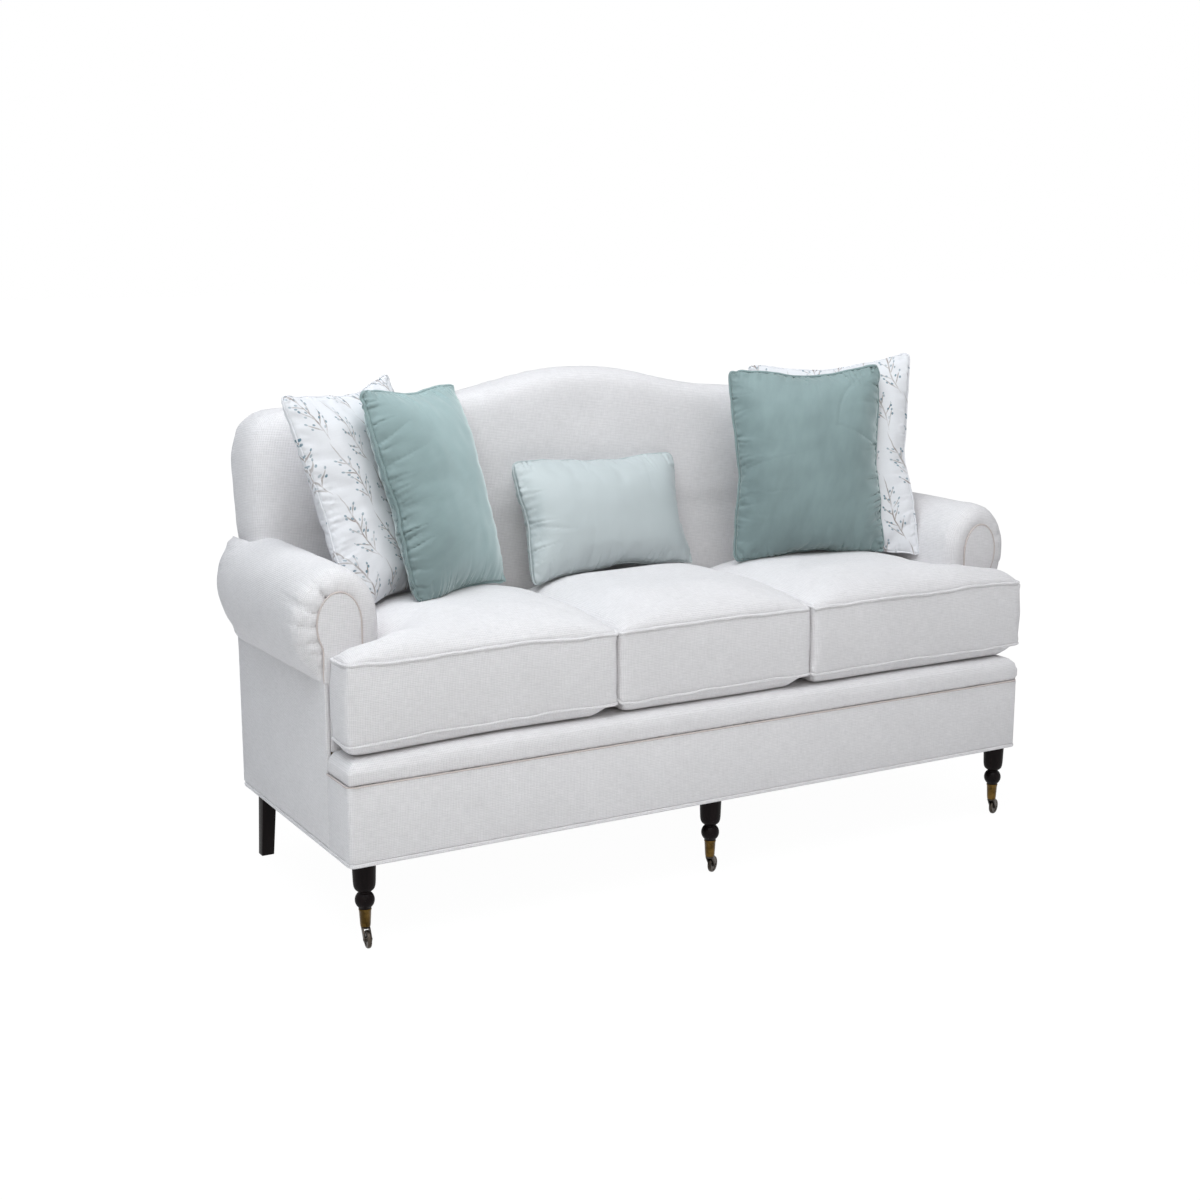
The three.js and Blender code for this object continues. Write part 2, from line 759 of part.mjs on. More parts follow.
// Turned leg, brass cup and caster
function frontLeg() {
  const peg = cupBottomRadius - cupWall - clearance;
  const arcSteps = 6;
  const ball = Array.from({ length: arcSteps + 1 }, (_, i) => {
    const degrees = THREE.MathUtils.lerp(ballDegrees.from, ballDegrees.to, i / arcSteps);
    const angle = THREE.MathUtils.degToRad(degrees);
    return [ballRadius * Math.cos(angle), ballHeight + ballRadius * Math.sin(angle)];
  });
  return turned([[0, cupBottom + cupFloor + clearance], [peg, cupBottom + cupFloor + clearance],
    [cupTopRadius - cupWall - 2 * clearance, cupTop], [cupTopRadius - clearance, cupTop + clearance],
    ...ball,
    [neckRadius, neckHeight], [vaseFootRadius, neckHeight + vaseFlare],
    [legShoulderRadius * vaseWaistShare, neckHeight + 2.5 * vaseFlare],
    [legShoulderRadius, vaseBulgeHeight],
    [(legShoulderRadius + legTopRadius) / 2, (vaseBulgeHeight + legHeight) / 2],
    [legTopRadius, legTop], [0, legTop]]);
}

function casterCup() {
  const socket = pintleRadius + clearance;
  const socketTop = cupBottom + pintleHeight + clearance;
  return turned([[0, socketTop], [socket, socketTop], [socket, cupBottom],
    [cupBottomRadius - cupWall / 2, cupBottom], [cupBottomRadius, cupBottom + cupWall],
    [cupTopRadius - clearance, cupTop - 2 * cupWall], [cupTopRadius + clearance, cupTop - cupWall],
    [cupTopRadius, cupTop], [cupTopRadius - cupWall, cupTop],
    [cupBottomRadius - cupWall, cupBottom + cupFloor], [0, cupBottom + cupFloor]]);
}

// The fork and wheel stand over the swivel axis, with the wheel trailing along +X
function casterFork() {
  const crownTop = cupBottom - clearance;
  const crownLow = crownTop - crownThickness;
  const crown = turned([[0, crownLow], [crownRadius, crownLow], [crownRadius, crownTop],
    [pintleRadius, crownTop], [pintleRadius, crownTop + pintleHeight], [0, crownTop + pintleHeight]]);
  const inner = wheelWidth / 2 + forkSideGap;
  const hub = Array.from({ length: hubSteps + 1 }, (_, i) => {
    const angle = halfTurn * (hubTurnShares.start - hubTurnShares.sweep * i / hubSteps);
    return [casterTrail + hubRadius * Math.cos(angle), wheelRadius + hubRadius * Math.sin(angle)];
  });
  const reach = crownRadius * cheekShare;
  const cheek = [[-reach, crownTop - forkSideGap], [reach, crownTop - forkSideGap], ...hub];
  const near = prismXZ(cheek, -inner - forkPlate, -inner);
  const far = prismXZ(cheek, inner, inner + forkPlate);
  const reachOut = inner + forkPlate + forkSideGap;
  const axle = new THREE.CylinderGeometry(axleRadius, axleRadius, 2 * reachOut, 10);
  axle.translate(casterTrail, 0, wheelRadius);
  return joined(crown, near, far, axle);
}

function casterWheel() {
  const half = wheelWidth / 2;
  const dish = half - wheelDish;
  const rim = wheelRadius - 2 * treadRound;
  const profile = [[boreRadius, -half], [wheelHub, -half], [wheelHub, -dish], [rim, -dish],
    [rim, -half + wheelDish / 3], [rim + treadRound, -half], [wheelRadius, -half + treadRound],
    [wheelRadius, half - treadRound], [rim + treadRound, half], [rim, half - wheelDish / 3],
    [rim, dish], [wheelHub, dish], [wheelHub, half], [boreRadius, half], [boreRadius, -half]];
  return facingOut(turned(profile, 20).rotateX(halfTurn / 2).translate(casterTrail, 0, wheelRadius));
}

function backLeg() {
  const ring = (width, depth, x, y, z) => [[-1, -1], [1, -1], [1, 1], [-1, 1]].map(([a, b]) =>
    new THREE.Vector3(x + a * width / 2, y + b * depth / 2, z));
  const top = ring(backLegTop, backLegTop, 0, 0, legTop);
  const foot = ring(backLegFoot.width, backLegFoot.depth, 0, backLegKick, 0);
  return lofted([foot, top], (point) => new THREE.Vector2(point.x, point.y));
}

// Seat cushions. The outer two are T-shaped, with an ear in front of the arm.
// All three have slid a little to the right.
const seatHalf = armInner - slidingGap;
const cushionBack = insideFaceAt(cushionLow) - slidingGap - coverCorner;
const earBack = armSetback - coverCorner;

function crownRise(x, y) {
  const across = Math.abs(x);
  const fromJoint = Math.abs(x - seatShift) - centreHalfWidth;
  const outer = y < earBack ? baseHalf + earOverhang[x < 0 ? 'left' : 'right'] : seatHalf;
  const fromSides = fromJoint < clearance ? -fromJoint : Math.min(fromJoint, outer - across);
  const back = across > seatHalf ? earBack : cushionBack;
  const fromEnds = Math.min(y - cushionFront, back - y);
  return [fromSides, fromEnds];
}

function cushionTopAt(x, y) {
  const [fromSides, fromEnds] = crownRise(x, y);
  const crown = cushionCrown - cushionPitch * (y - cushionFront) / (cushionBack - cushionFront);
  return cushionSeamHigh + crown * swell(fromSides, crownReach) * swell(fromEnds, crownReach);
}

function cushionUnderAt(x, y) {
  const [fromSides, fromEnds] = crownRise(x, y);
  const belly = cushionSeamLow - cushionLow;
  return cushionSeamLow - belly * swell(fromSides, bellyReach) * swell(fromEnds, bellyReach);
}

const bodyColumnShares = [0, 0.03, 0.1, 0.22, 0.4, 0.6, 0.78, 0.9, 0.97, 1];
const earColumnShares = [0.3, 0.65, 0.88, 1];
const earRowShares = [0, 0.12, 0.4, 0.7, 1];
const bodyRowShares = [0.12, 0.3, 0.52, 0.72, 0.88, 0.97, 1];
const bandShares = [0, 0.2, 0.5, 0.8, 1];

// A cushion between two places across the seat, drawn as on the right: sign is -1 for the one to be mirrored
function seatCushion(xInner, xOuter, sign, overhang = null) {
  const hasEar = overhang !== null;
  const between = (start, end) => (share) => start + (end - start) * share;
  const columns = bodyColumnShares.map(between(xInner, xOuter));
  if (hasEar) columns.push(...earColumnShares.map(between(xOuter, baseHalf + overhang)));
  const rows = [...earRowShares.map(between(cushionFront, earBack)),
    ...bodyRowShares.map(between(earBack, cushionBack))];
  const bodyCells = bodyColumnShares.length - 1;
  const earCells = earRowShares.length - 1;
  const isHeld = (i, j) => i < bodyCells || j < earCells;
  const last = columns[columns.length - 1];
  return softBody(columns.length, rows.length, bandShares.length, isHeld, (i, j, k) => {
    const share = bandShares[k];
    let [x, y] = [columns[i], rows[j]];
    const along = (x - xInner) / (last - xInner);
    let z = cushionSeamLow + (cushionSeamHigh - cushionSeamLow) * share;
    if (k === 0) z = cushionUnderAt(sign * x, y);
    if (k === bandShares.length - 1) z = cushionTopAt(sign * x, y);
    if (j === 0) {
      y += cushionDrawIn * Math.sin(halfTurn * along) - cushionBulge * Math.sin(halfTurn * share);
      if (i === 0) x += cushionCornerPull;
      if (x === last) x -= cushionCornerPull;
    } else if (i === columns.length - 1 && hasEar) {
      x += cushionBulge * Math.sin(halfTurn * share) - cushionDrawIn;
    }
    return new THREE.Vector3(x, y, z);
  });
}

// Throw pillows. Each leans on what stands behind it and flattens where it rests.
function pillowPose(name, form) {
  const { across, deep, settle } = pillowPlaceShares[name];
  const { yaw, lean, roll } = pillowTurnDegrees[name];
  const leanAngle = THREE.MathUtils.degToRad(lean);
  const turn = new THREE.Matrix4().makeRotationZ(THREE.MathUtils.degToRad(yaw))
    .multiply(new THREE.Matrix4().makeRotationX(-leanAngle))
    .multiply(new THREE.Matrix4().makeRotationY(-THREE.MathUtils.degToRad(roll)));
  const height = seatTop + form.height * (Math.cos(leanAngle) / 2 - settle);
  const middle = new THREE.Vector3(across * armInner, deep * cushionBack, height);
  const normal = new THREE.Vector3(0, -1, 0).transformDirection(turn);
  return { turn, middle, normal, form };
}

// A plane that keeps two pillows apart: half the fit to either side of it
function planeBetween(front, rear) {
  const normal = front.normal.clone().add(rear.normal).normalize();
  const distance = (front.middle.dot(normal) + rear.middle.dot(normal)) / 2;
  return { normal, distance };
}

function keepAhead(normal, distance) {
  return (point, room) => {
    const short = distance + room - point.dot(normal);
    if (short > 0) point.addScaledVector(normal, short);
  };
}

function keepOffBack(point, room) {
  const normal = new THREE.Vector3(0, -Math.cos(rake), Math.sin(rake));
  const face = new THREE.Vector3(0, insideFaceAt(bendHeight), bendHeight);
  keepAhead(normal, face.dot(normal) + backPadCrown)(point, room);
}

function keepOffArm(point, room) {
  const side = Math.sign(point.x);
  const { halfWidth, halfHeight, centreHeight } = rollFront;
  const centre = armInner + halfWidth;
  const [reachIn, reachUp] = [halfWidth + room + curveGap, halfHeight + room + curveGap];
  if (point.z <= centreHeight) {
    point.x = side * Math.min(Math.abs(point.x), centre - reachIn);
    return;
  }
  const shareIn = (centre - Math.abs(point.x)) / reachIn;
  const shareUp = (point.z - centreHeight) / reachUp;
  const reach = Math.hypot(shareIn, shareUp);
  if (reach >= 1) return;
  point.x = side * (centre - reachIn * shareIn / reach);
  point.z = centreHeight + reachUp * shareUp / reach;
}

function keepOffSeat(point, room) {
  point.z = Math.max(point.z, cushionTopAt(point.x, point.y) + room + restGap);
}

function keepWithin(low, high) {
  return (point, room) => {
    point.x = Math.min(Math.max(point.x, low + room), high - room);
  };
}

function pillow(pose, contacts) {
  const { width, height, thickness, drawnShare } = pose.form;
  const { power, root } = pillowPuffShares;
  const lines = Array.from({ length: pillowGridCount + 1 }, (_, i) =>
    Math.sin(halfTurn * (i / pillowGridCount - 1 / 2)));
  const settled = (point, room) => {
    contacts.forEach((contact) => contact(point, room));
    return point;
  };
  return softBody(lines.length, lines.length, 2, () => true, (i, j, k) => {
    const [u, v] = [lines[i], lines[j]];
    const drawn = (a, b) => a * (1 - drawnShare * a * a * (1 - b * b));
    const across = drawn(u, v) * width / 2;
    const up = drawn(v, u) * height / 2;
    const swellAt = (a) => Math.max(1 - Math.abs(a) ** power, 0) ** root;
    const puff = (thickness - pillowEdge) / 2 * swellAt(u) * swellAt(v);
    const middle = new THREE.Vector3(across, 0, up).applyMatrix4(pose.turn).add(pose.middle);
    settled(middle, softGap + pillowEdge / 2);
    const out = pillowEdge / 2 + puff;
    const point = middle.clone().addScaledVector(pose.normal, k === 0 ? -out : out);
    const edge = middle.clone().addScaledVector(pose.normal, k === 0 ? -pillowEdge / 2 : pillowEdge / 2);
    settled(point, softGap);
    return Math.abs(u) === 1 || Math.abs(v) === 1 ? edge : point;
  });
}

// Assembly
addPiece('front_rail', frontRail(), 'hardwood');
addPiece('back_rail', backRail(), 'hardwood');
addPiece('centre_stretcher', centreStretcher(), 'hardwood');
addPiece('back_top_rail', backTopRail(), 'hardwood');
addPiece('deck_pad', deckPad(), 'linen');
addPiece('deck_lip', deckLip(), 'linen');
addPiece('front_apron', frontApron(), 'linen');
addPiece('outside_back_panel', outsideBackPanel(), 'linen');
addPiece('back_pad', backPad(), 'linen');
addPiece('dust_cover', dustCover(), 'cambric');
addPiece('bottom_welt', bottomWelt(), 'linen');

const pairs = [
  ['side_rail', sideRail(), 'hardwood'],
  ['front_corner_block', cornerBlock(false), 'hardwood'],
  ['back_corner_block', cornerBlock(true), 'hardwood'],
  ['back_post', backPost(), 'hardwood'],
  ['arm_post', armPost(), 'hardwood'],
  ['arm_rail', armRail(), 'hardwood'],
  ['side_panel', sidePanel(), 'linen'],
  ['arm_pad', armPad(), 'linen'],
  ['arm_facing', armFacing(), 'linen'],
];
pairs.forEach(([name, geometry, finishName]) => {
  addPiece(`${name}_right`, geometry, finishName);
  addPiece(`${name}_left`, mirrored(geometry), finishName);
});
const outerFrom = centreHalfWidth + slidingGap;
const cushions = {
  left: mirrored(seatCushion(outerFrom - seatShift, seatHalf, -1, earOverhang.left)),
  centre: seatCushion(seatShift - centreHalfWidth, seatShift + centreHalfWidth, 1),
  right: seatCushion(outerFrom + seatShift, seatHalf, 1, earOverhang.right),
};
Object.entries(cushions).forEach(([side, cushion]) => addPiece(`seat_cushion_${side}`, cushion, 'linen'));

for (let i = 0; i < springCount; i += 1) {
  const share = (2 * i / (springCount - 1) - 1) * springSpreadShare;
  addPiece(`seat_spring_${i + 1}`, seatSpring(share * deckHalf), 'springSteel');
}

const frontLegX = baseHalf - frontLegInset;
const backLegX = baseHalf - backLegInset;
const backLegY = baseDepth - backLegSetback;
[['left', -1], ['centre', 0], ['right', 1]].forEach(([side, sign]) => {
  const corner = new THREE.Group();
  corner.position.set(sign * frontLegX, frontLegSetback, 0);
  sofa.add(corner);
  addPiece(`front_leg_${side}`, frontLeg(), 'espresso', corner);
  addPiece(`caster_cup_${side}`, casterCup(), 'brass', corner);
  const caster = new THREE.Group();
  caster.rotation.z = THREE.MathUtils.degToRad(casterTurnDegrees[side]);
  corner.add(caster);
  addPiece(`caster_fork_${side}`, casterFork(), 'iron', caster);
  addPiece(`caster_wheel_${side}`, casterWheel(), 'iron', caster);
  addPiece(`back_leg_${side}`, backLeg(), 'espresso').position.set(sign * backLegX, backLegY, 0);
});

const poses = {
  print_left: pillowPose('print_left', printPillow),
  velvet_left: pillowPose('velvet_left', velvetPillow),
  lumbar: pillowPose('lumbar', lumbarPillow),
  velvet_right: pillowPose('velvet_right', velvetPillow),
  print_right: pillowPose('print_right', printPillow),
};
const ground = [keepOffBack, keepOffArm];
['left', 'right'].forEach((side) => {
  const [front, rear] = [poses[`velvet_${side}`], poses[`print_${side}`]];
  const { normal, distance } = planeBetween(front, rear);
  const ahead = keepAhead(normal, distance);
  const behind = keepAhead(normal.clone().negate(), -distance);
  const sign = side === 'left' ? -1 : 1;
  const strip = [sign * centreHalfWidth + seatShift, sign * baseWidth].sort((a, b) => a - b);
  const within = keepWithin(...strip);
  addPiece(`pillow_velvet_${side}`, pillow(front, [...ground, ahead, within, keepOffSeat]), 'velvet');
  addPiece(`pillow_print_${side}`, pillow(rear, [...ground, behind, within, keepOffSeat]), 'print');
});
const centreStrip = keepWithin(seatShift - centreHalfWidth, seatShift + centreHalfWidth);
addPiece('pillow_lumbar', pillow(poses.lumbar, [...ground, centreStrip, keepOffSeat]), 'satin');

// The origin goes under the middle of the whole sofa, on the floor
const bounds = new THREE.Box3().setFromObject(sofa, true);
const middle = bounds.getCenter(new THREE.Vector3());
sofa.position.set(-middle.x, -middle.y, -bounds.min.z);

const group = new THREE.Group();
group.add(sofa);

export default group;
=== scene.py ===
"""Upholsters and finishes a camelback sofa over its frame: covers, cushions, pillows, legs and stage."""

import json
import math

import bmesh
import bpy
from bpy.props import FloatProperty, FloatVectorProperty, IntProperty, PointerProperty
from mathutils import Matrix, Vector, kdtree, noise
from mathutils.bvhtree import BVHTree


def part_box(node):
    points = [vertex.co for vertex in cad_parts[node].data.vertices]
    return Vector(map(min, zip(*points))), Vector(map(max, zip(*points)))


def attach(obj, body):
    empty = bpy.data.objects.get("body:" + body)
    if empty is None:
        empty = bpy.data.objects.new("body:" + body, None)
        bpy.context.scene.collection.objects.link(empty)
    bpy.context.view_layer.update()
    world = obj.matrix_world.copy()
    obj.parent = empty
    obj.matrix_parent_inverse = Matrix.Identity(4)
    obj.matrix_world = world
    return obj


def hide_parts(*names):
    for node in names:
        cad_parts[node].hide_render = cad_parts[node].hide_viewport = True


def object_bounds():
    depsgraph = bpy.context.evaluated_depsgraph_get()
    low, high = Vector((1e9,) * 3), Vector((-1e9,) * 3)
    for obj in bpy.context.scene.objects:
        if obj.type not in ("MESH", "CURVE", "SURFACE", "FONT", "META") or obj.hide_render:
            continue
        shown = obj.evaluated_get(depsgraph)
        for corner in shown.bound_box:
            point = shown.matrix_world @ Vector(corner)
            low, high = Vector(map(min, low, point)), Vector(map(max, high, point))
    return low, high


bl_info = {
    "name": "Camelback Sofa",
    "version": (1, 0, 0),
    "blender": (4, 5, 0),
    "location": "View3D > Sidebar > Sofa",
    "description": "Upholsters a camelback sofa with loose cushions, throw pillows and turned legs",
    "category": "Object",
}

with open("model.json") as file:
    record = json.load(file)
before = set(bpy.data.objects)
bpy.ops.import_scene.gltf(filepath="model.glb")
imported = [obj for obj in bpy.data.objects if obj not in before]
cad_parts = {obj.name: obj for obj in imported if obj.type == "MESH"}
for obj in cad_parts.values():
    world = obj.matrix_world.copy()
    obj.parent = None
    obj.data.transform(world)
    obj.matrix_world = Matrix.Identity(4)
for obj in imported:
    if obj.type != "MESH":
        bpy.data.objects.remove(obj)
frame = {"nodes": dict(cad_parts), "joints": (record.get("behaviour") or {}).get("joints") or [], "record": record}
cad_low, cad_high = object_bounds()

SIDES = ("left", "centre", "right")
PAIR = ("left", "right")
MERGE = 1e-5


def tone(red, green, blue):
    """A colour written in 0 to 255 display values, as the linear colour that a shader takes."""
    return tuple((v / 255 / 12.92) if v < 11 else ((v / 255 + 0.055) / 1.055) ** 2.4 for v in (red, green, blue))


def colour(name, description, rgb):
    return FloatVectorProperty(
        name=name, description=description, subtype="COLOR", size=3, min=0, max=1, default=tone(*rgb))


def length(name, description, default):
    return FloatProperty(name=name, description=description, unit="LENGTH", min=0, default=default)


def amount(name, description, default, **kind):
    return FloatProperty(name=name, description=description, default=default, **kind)


# Settings
class SofaCovers(bpy.types.PropertyGroup):
    linen: colour("Linen", "Colour of the woven cover", (236, 234, 236))
    # The thread is darker than the linen partly as its own colour and partly to paint the shade along the seams
    thread_and_seam_shade: colour("Thread and seam shade", "Colour of the sewn seams", (206, 196, 193))
    lining: colour("Dust cover", "Colour of the lining under the seat", (26, 26, 28))
    thread_pitch: length("Thread pitch", "Distance from one woven thread to the next", 0.0032)
    cover_voxel: length("Cover mesh", "Mesh size of the large padded covers", 0.009)
    cushion_voxel: length("Cushion mesh", "Mesh size of the seat cushions", 0.0066)
    welt_radius: length("Seat welt", "Radius of the welts on the seat cushions", 0.0031)
    base_welt_radius: length("Base welt", "Radius of the welt round the foot of the base", 0.0046)
    cushion_pressure: amount("Cushion pressure", "How hard the fill presses on a seat cushion's cover", 3.2, min=0)
    cushion_give: length("Cushion give", "How far a seat cushion's cover may swell", 0.009)


class SofaPillows(bpy.types.PropertyGroup):
    velvet: colour("Velvet", "Colour of the velvet pillows", (127, 146, 147))
    satin: colour("Satin", "Colour of the small satin pillow", (186, 195, 197))
    ground: colour("Print ground", "Ground colour of the printed pillows", (226, 227, 231))
    stem: colour("Print stems", "Colour of the printed stems", (158, 148, 144))
    bud: colour("Print buds", "Colour of the printed buds", (104, 132, 146))
    sprig_height: length("Sprig height", "Height of one printed sprig", 0.155)
    pillow_voxel: length("Pillow mesh", "Mesh size of the throw pillows", 0.0052)
    piping_radius: length("Piping", "Radius of the piping on the velvet pillows", 0.0032)
    pillow_pressure: amount("Pillow pressure", "How hard the fill presses on a pillow's cover", 5.0, min=0)
    pillow_slack: amount("Pillow slack", "How much larger the cover is cut than the pillow, which creases it", 0.02,
                         subtype="FACTOR", min=0, max=0.2)
    pillow_give: length("Pillow give", "How far a pillow's cover may swell", 0.009)


class SofaTimber(bpy.types.PropertyGroup):
    hardwood: colour("Hardwood", "Colour of the bare frame boards", (186, 154, 112))
    espresso: colour("Espresso stain", "Colour of the stained legs", (17, 11, 12))
    brass: colour("Brass", "Colour of the caster cups", (94, 73, 36))
    iron: colour("Iron", "Colour of the caster forks and wheels", (74, 68, 62))
    leg_radius: length("Leg radius", "Radius of a front leg at its top", 0.0222)
    waist_radius: length("Waist radius", "Radius of the waist above the ball", 0.0108)
    ball_radius: length("Ball radius", "Radius of the turned ball", 0.0184)
    turning_steps: IntProperty(name="Turning steps", description="Steps round a turned piece", min=12, default=48)


class SofaStage(bpy.types.PropertyGroup):
    backdrop: colour("Backdrop", "Colour of the floor and backdrop", (255, 255, 255))
    key_power: amount("Key power", "Power of the wide light overhead", 91, unit="POWER", min=0)
    front_power: amount("Front power", "Power of the soft light in front", 21, unit="POWER", min=0)
    side_power: amount("Side power", "Power of the cool light at the left", 15, unit="POWER", min=0)
    sky: amount("Sky", "Strength of the even light all round", 0.26, min=0)
    lens: amount("Lens", "Focal length of the camera", 53.8, unit="CAMERA", min=1)
    camera_turn: amount("Camera turn", "How far the camera is turned to the right", math.radians(29.802),
                        subtype="ANGLE")
    camera_tilt: amount("Camera tilt", "How far the camera looks down", math.radians(11.752), subtype="ANGLE")


def settings(group):
    return getattr(bpy.context.scene, "sofa_" + group)


# Shader building
def feed(tree, slot, value):
    """Links a socket to a slot, or sets the slot to a plain value."""
    if isinstance(value, bpy.types.NodeSocket):
        tree.links.new(value, slot)
    elif value is not None:
        slot.default_value = value


def add_node(tree, kind, inputs=None, **values):
    made = tree.nodes.new(kind)
    for key, value in values.items():
        setattr(made, key, value)
    for key, value in (inputs or {}).items():
        feed(tree, made.inputs[key], value)
    return made


def maths_node(operation):
    """A function that adds one kind of Math node to a tree and gives back its result."""
    def build(tree, *values):
        made = add_node(tree, "ShaderNodeMath", operation=operation)
        for slot, value in zip(made.inputs, values):
            feed(tree, slot, value)
        return made.outputs[0]
    return build


plus, minus, times, divided, larger = map(maths_node, ("ADD", "SUBTRACT", "MULTIPLY", "DIVIDE", "MAXIMUM"))
sine, unsigned, whole, remainder = map(maths_node, ("SINE", "ABSOLUTE", "FLOOR", "MODULO"))


def weighed(tree, *terms):
    """The sum of terms, each a value and its weight."""
    total, *others = [times(tree, value, weight) for value, weight in terms]
    for other in others:
        total = plus(tree, total, other)
    return total


def blend_colour(tree, factor, first, second):
    made = add_node(tree, "ShaderNodeMix", data_type="RGBA")
    for slot, value in zip((0, 6, 7), (factor, first, second)):
        feed(tree, made.inputs[slot], (*value, 1) if isinstance(value, tuple) else value)
    return made.outputs[2]


def ramp(tree, value, low, high, start=0.0, end=1.0):
    """Value carried from the range low to high onto start to end."""
    return add_node(tree, "ShaderNodeMapRange", {
        "Value": value, "From Min": low, "From Max": high, "To Min": start, "To Max": end}).outputs[0]


def vector_step(tree, operation, **values):
    """A Vector Math node's outputs. Its inputs are first, second and factor."""
    slots = {"first": 0, "second": 1, "factor": "Scale"}
    return add_node(tree, "ShaderNodeVectorMath", {slots[key]: value for key, value in values.items()},
                    operation=operation).outputs


def patterned(tree, vector, scale, detail=2.0):
    """Noise, stretched by a scale for each axis."""
    mapped = add_node(tree, "ShaderNodeMapping", {"Vector": vector, "Scale": scale})
    return add_node(tree, "ShaderNodeTexNoise", {
        "Vector": mapped.outputs[0], "Scale": 1.0, "Detail": detail}).outputs[0]


def effect(name, inputs, outputs, build):
    """A shader node group, built the first time that it is asked for. It always takes a Vector."""
    if name in bpy.data.node_groups:
        return bpy.data.node_groups[name]
    tree = bpy.data.node_groups.new(name, "ShaderNodeTree")
    tree.interface.new_socket("Vector", in_out="INPUT", socket_type="NodeSocketVector")
    for label, default in inputs.items():
        tree.interface.new_socket(label, in_out="INPUT", socket_type="NodeSocketFloat").default_value = default
    for label in outputs:
        tree.interface.new_socket(label, in_out="OUTPUT", socket_type="NodeSocketFloat")
    entry = tree.nodes.new("NodeGroupInput")
    results = build(tree, entry.outputs)
    leave = tree.nodes.new("NodeGroupOutput")
    for label in outputs:
        tree.links.new(results[label], leave.inputs[label])
    return tree


def use_effect(tree, group, vector, **inputs):
    return add_node(tree, "ShaderNodeGroup", {"Vector": vector, **inputs}, node_tree=group).outputs


def split_up(tree, vector):
    return add_node(tree, "ShaderNodeSeparateXYZ", {"Vector": vector}).outputs


# Noise scales along each axis: thick and thin threads along and across, and the cloth's slow change of shade
SLUB_ALONG, SLUB_ACROSS, CLOTH_SHADE = (46, 420, 1), (380, 52, 1), (9, 9, 9)
# The same for the broad lay of the pile, its strokes and its fibres
BROAD_LAY, STROKES, FIBRES = (11, 7, 9), (60, 24, 50), (900, 500, 900)
# The same for wood, and for wear a scale and a detail
RINGS, PORES = (130, 130, 9), (900, 900, 40)
BLOTCHES, SCRATCHES = (60, 4), (420, 2)


def weave_effect():
    """Crossing threads: each passes over one and under the next, and some are thicker than others."""
    def build(tree, given):
        place = given["Vector"]
        waves = [sine(tree, times(tree, divided(tree, axis, given["Pitch"]), math.pi))
                 for axis in split_up(tree, place)[:2]]
        upper = ramp(tree, times(tree, *waves), -0.35, 0.35)
        crests = [unsigned(tree, wave) for wave in waves]
        height = weighed(tree, (crests[0], upper), (crests[1], minus(tree, 1.0, upper)))
        along, across = patterned(tree, place, SLUB_ALONG), patterned(tree, place, SLUB_ACROSS)
        slub = weighed(tree, (along, 0.6), (across, 0.4))
        shade = weighed(tree, (slub, 0.7), (patterned(tree, place, CLOTH_SHADE, 3.0), 0.3))
        return {"Height": weighed(tree, (height, 1.0), (slub, 0.7)), "Shade": ramp(tree, shade, 0.3, 0.7)}
    return effect("Weave", {"Pitch": 0.0026}, ("Height", "Shade"), build)


def nap_and_light_effect():
    """Pile with random strokes and a fine grain, and painted light: it is darker low on the cloth and lighter high on
    it, standing in for sheen and light falling off.

    The slope input says how much the painted light changes per metre, and the raise input how light it is in the
    middle."""
    def build(tree, given):
        place = given["Vector"]
        broad, stroke = patterned(tree, place, BROAD_LAY), patterned(tree, place, STROKES, 3.0)
        # The term along the cloth's up and the raise are painted light; the broad and stroke noise is the pile's own
        # uneven tone
        lay = weighed(tree, (broad, 0.3), (stroke, 0.12), (split_up(tree, place)[1], given["Slope"]),
                      (given["Raise"], 1.0))
        return {"Lay and painted light": ramp(tree, lay, -0.04, 0.46), "Grain": patterned(tree, place, FIBRES, 1.0)}
    return effect("Nap and painted light", {"Slope": 1.0, "Raise": 0.0}, ("Lay and painted light", "Grain"), build)


def wear_effect():
    """Scuffs and grime: blotches broken up by finer ones."""
    def build(tree, given):
        blotch, fine = (patterned(tree, given["Vector"], (size,) * 3, detail)
                        for size, detail in (BLOTCHES, SCRATCHES))
        return {"Wear": ramp(tree, weighed(tree, (blotch, 0.7), (fine, 0.3)), 0.42, 0.62), "Fine": fine}
    return effect("Wear", {}, ("Wear", "Fine"), build)


def grain_effect():
    """Wood grain along the height of a piece."""
    def build(tree, given):
        rings = patterned(tree, given["Vector"], RINGS, 3.0)
        return {"Grain": ramp(tree, rings, 0.35, 0.65), "Pores": patterned(tree, given["Vector"], PORES)}
    return effect("Grain", {}, ("Grain", "Pores"), build)


# A sprig's column as a share of its height, its turn, and how far every other column is dropped
COLUMN_WIDTH, SPRIG_TURN, HALF_DROP = 0.36, math.radians(-24), 0.55
# The stem: half its length, how far it bows aside, and how often
STEM_HALF, STEM_BOW, STEM_WAVES = 0.48, 0.035, 5.2
# Twigs on either side of it: how many there are, how far the first ones reach and how steep they stand
TWIG_COUNT, TWIG_REACH, TWIG_TURN = 8, 0.24, 36
FIRST_TWIG, TWIG_STEP = 0.05, 0.085
# Where a twig's buds sit, as a share of its length and a distance to one side
BUD_PLACES = ((1.04, 0.0), (0.66, 0.028), (0.60, -0.026))
STEM_WIDTH, TWIG_WIDTH, BUD_SIZE = 0.0105, 0.0085, (0.013, 0.020)


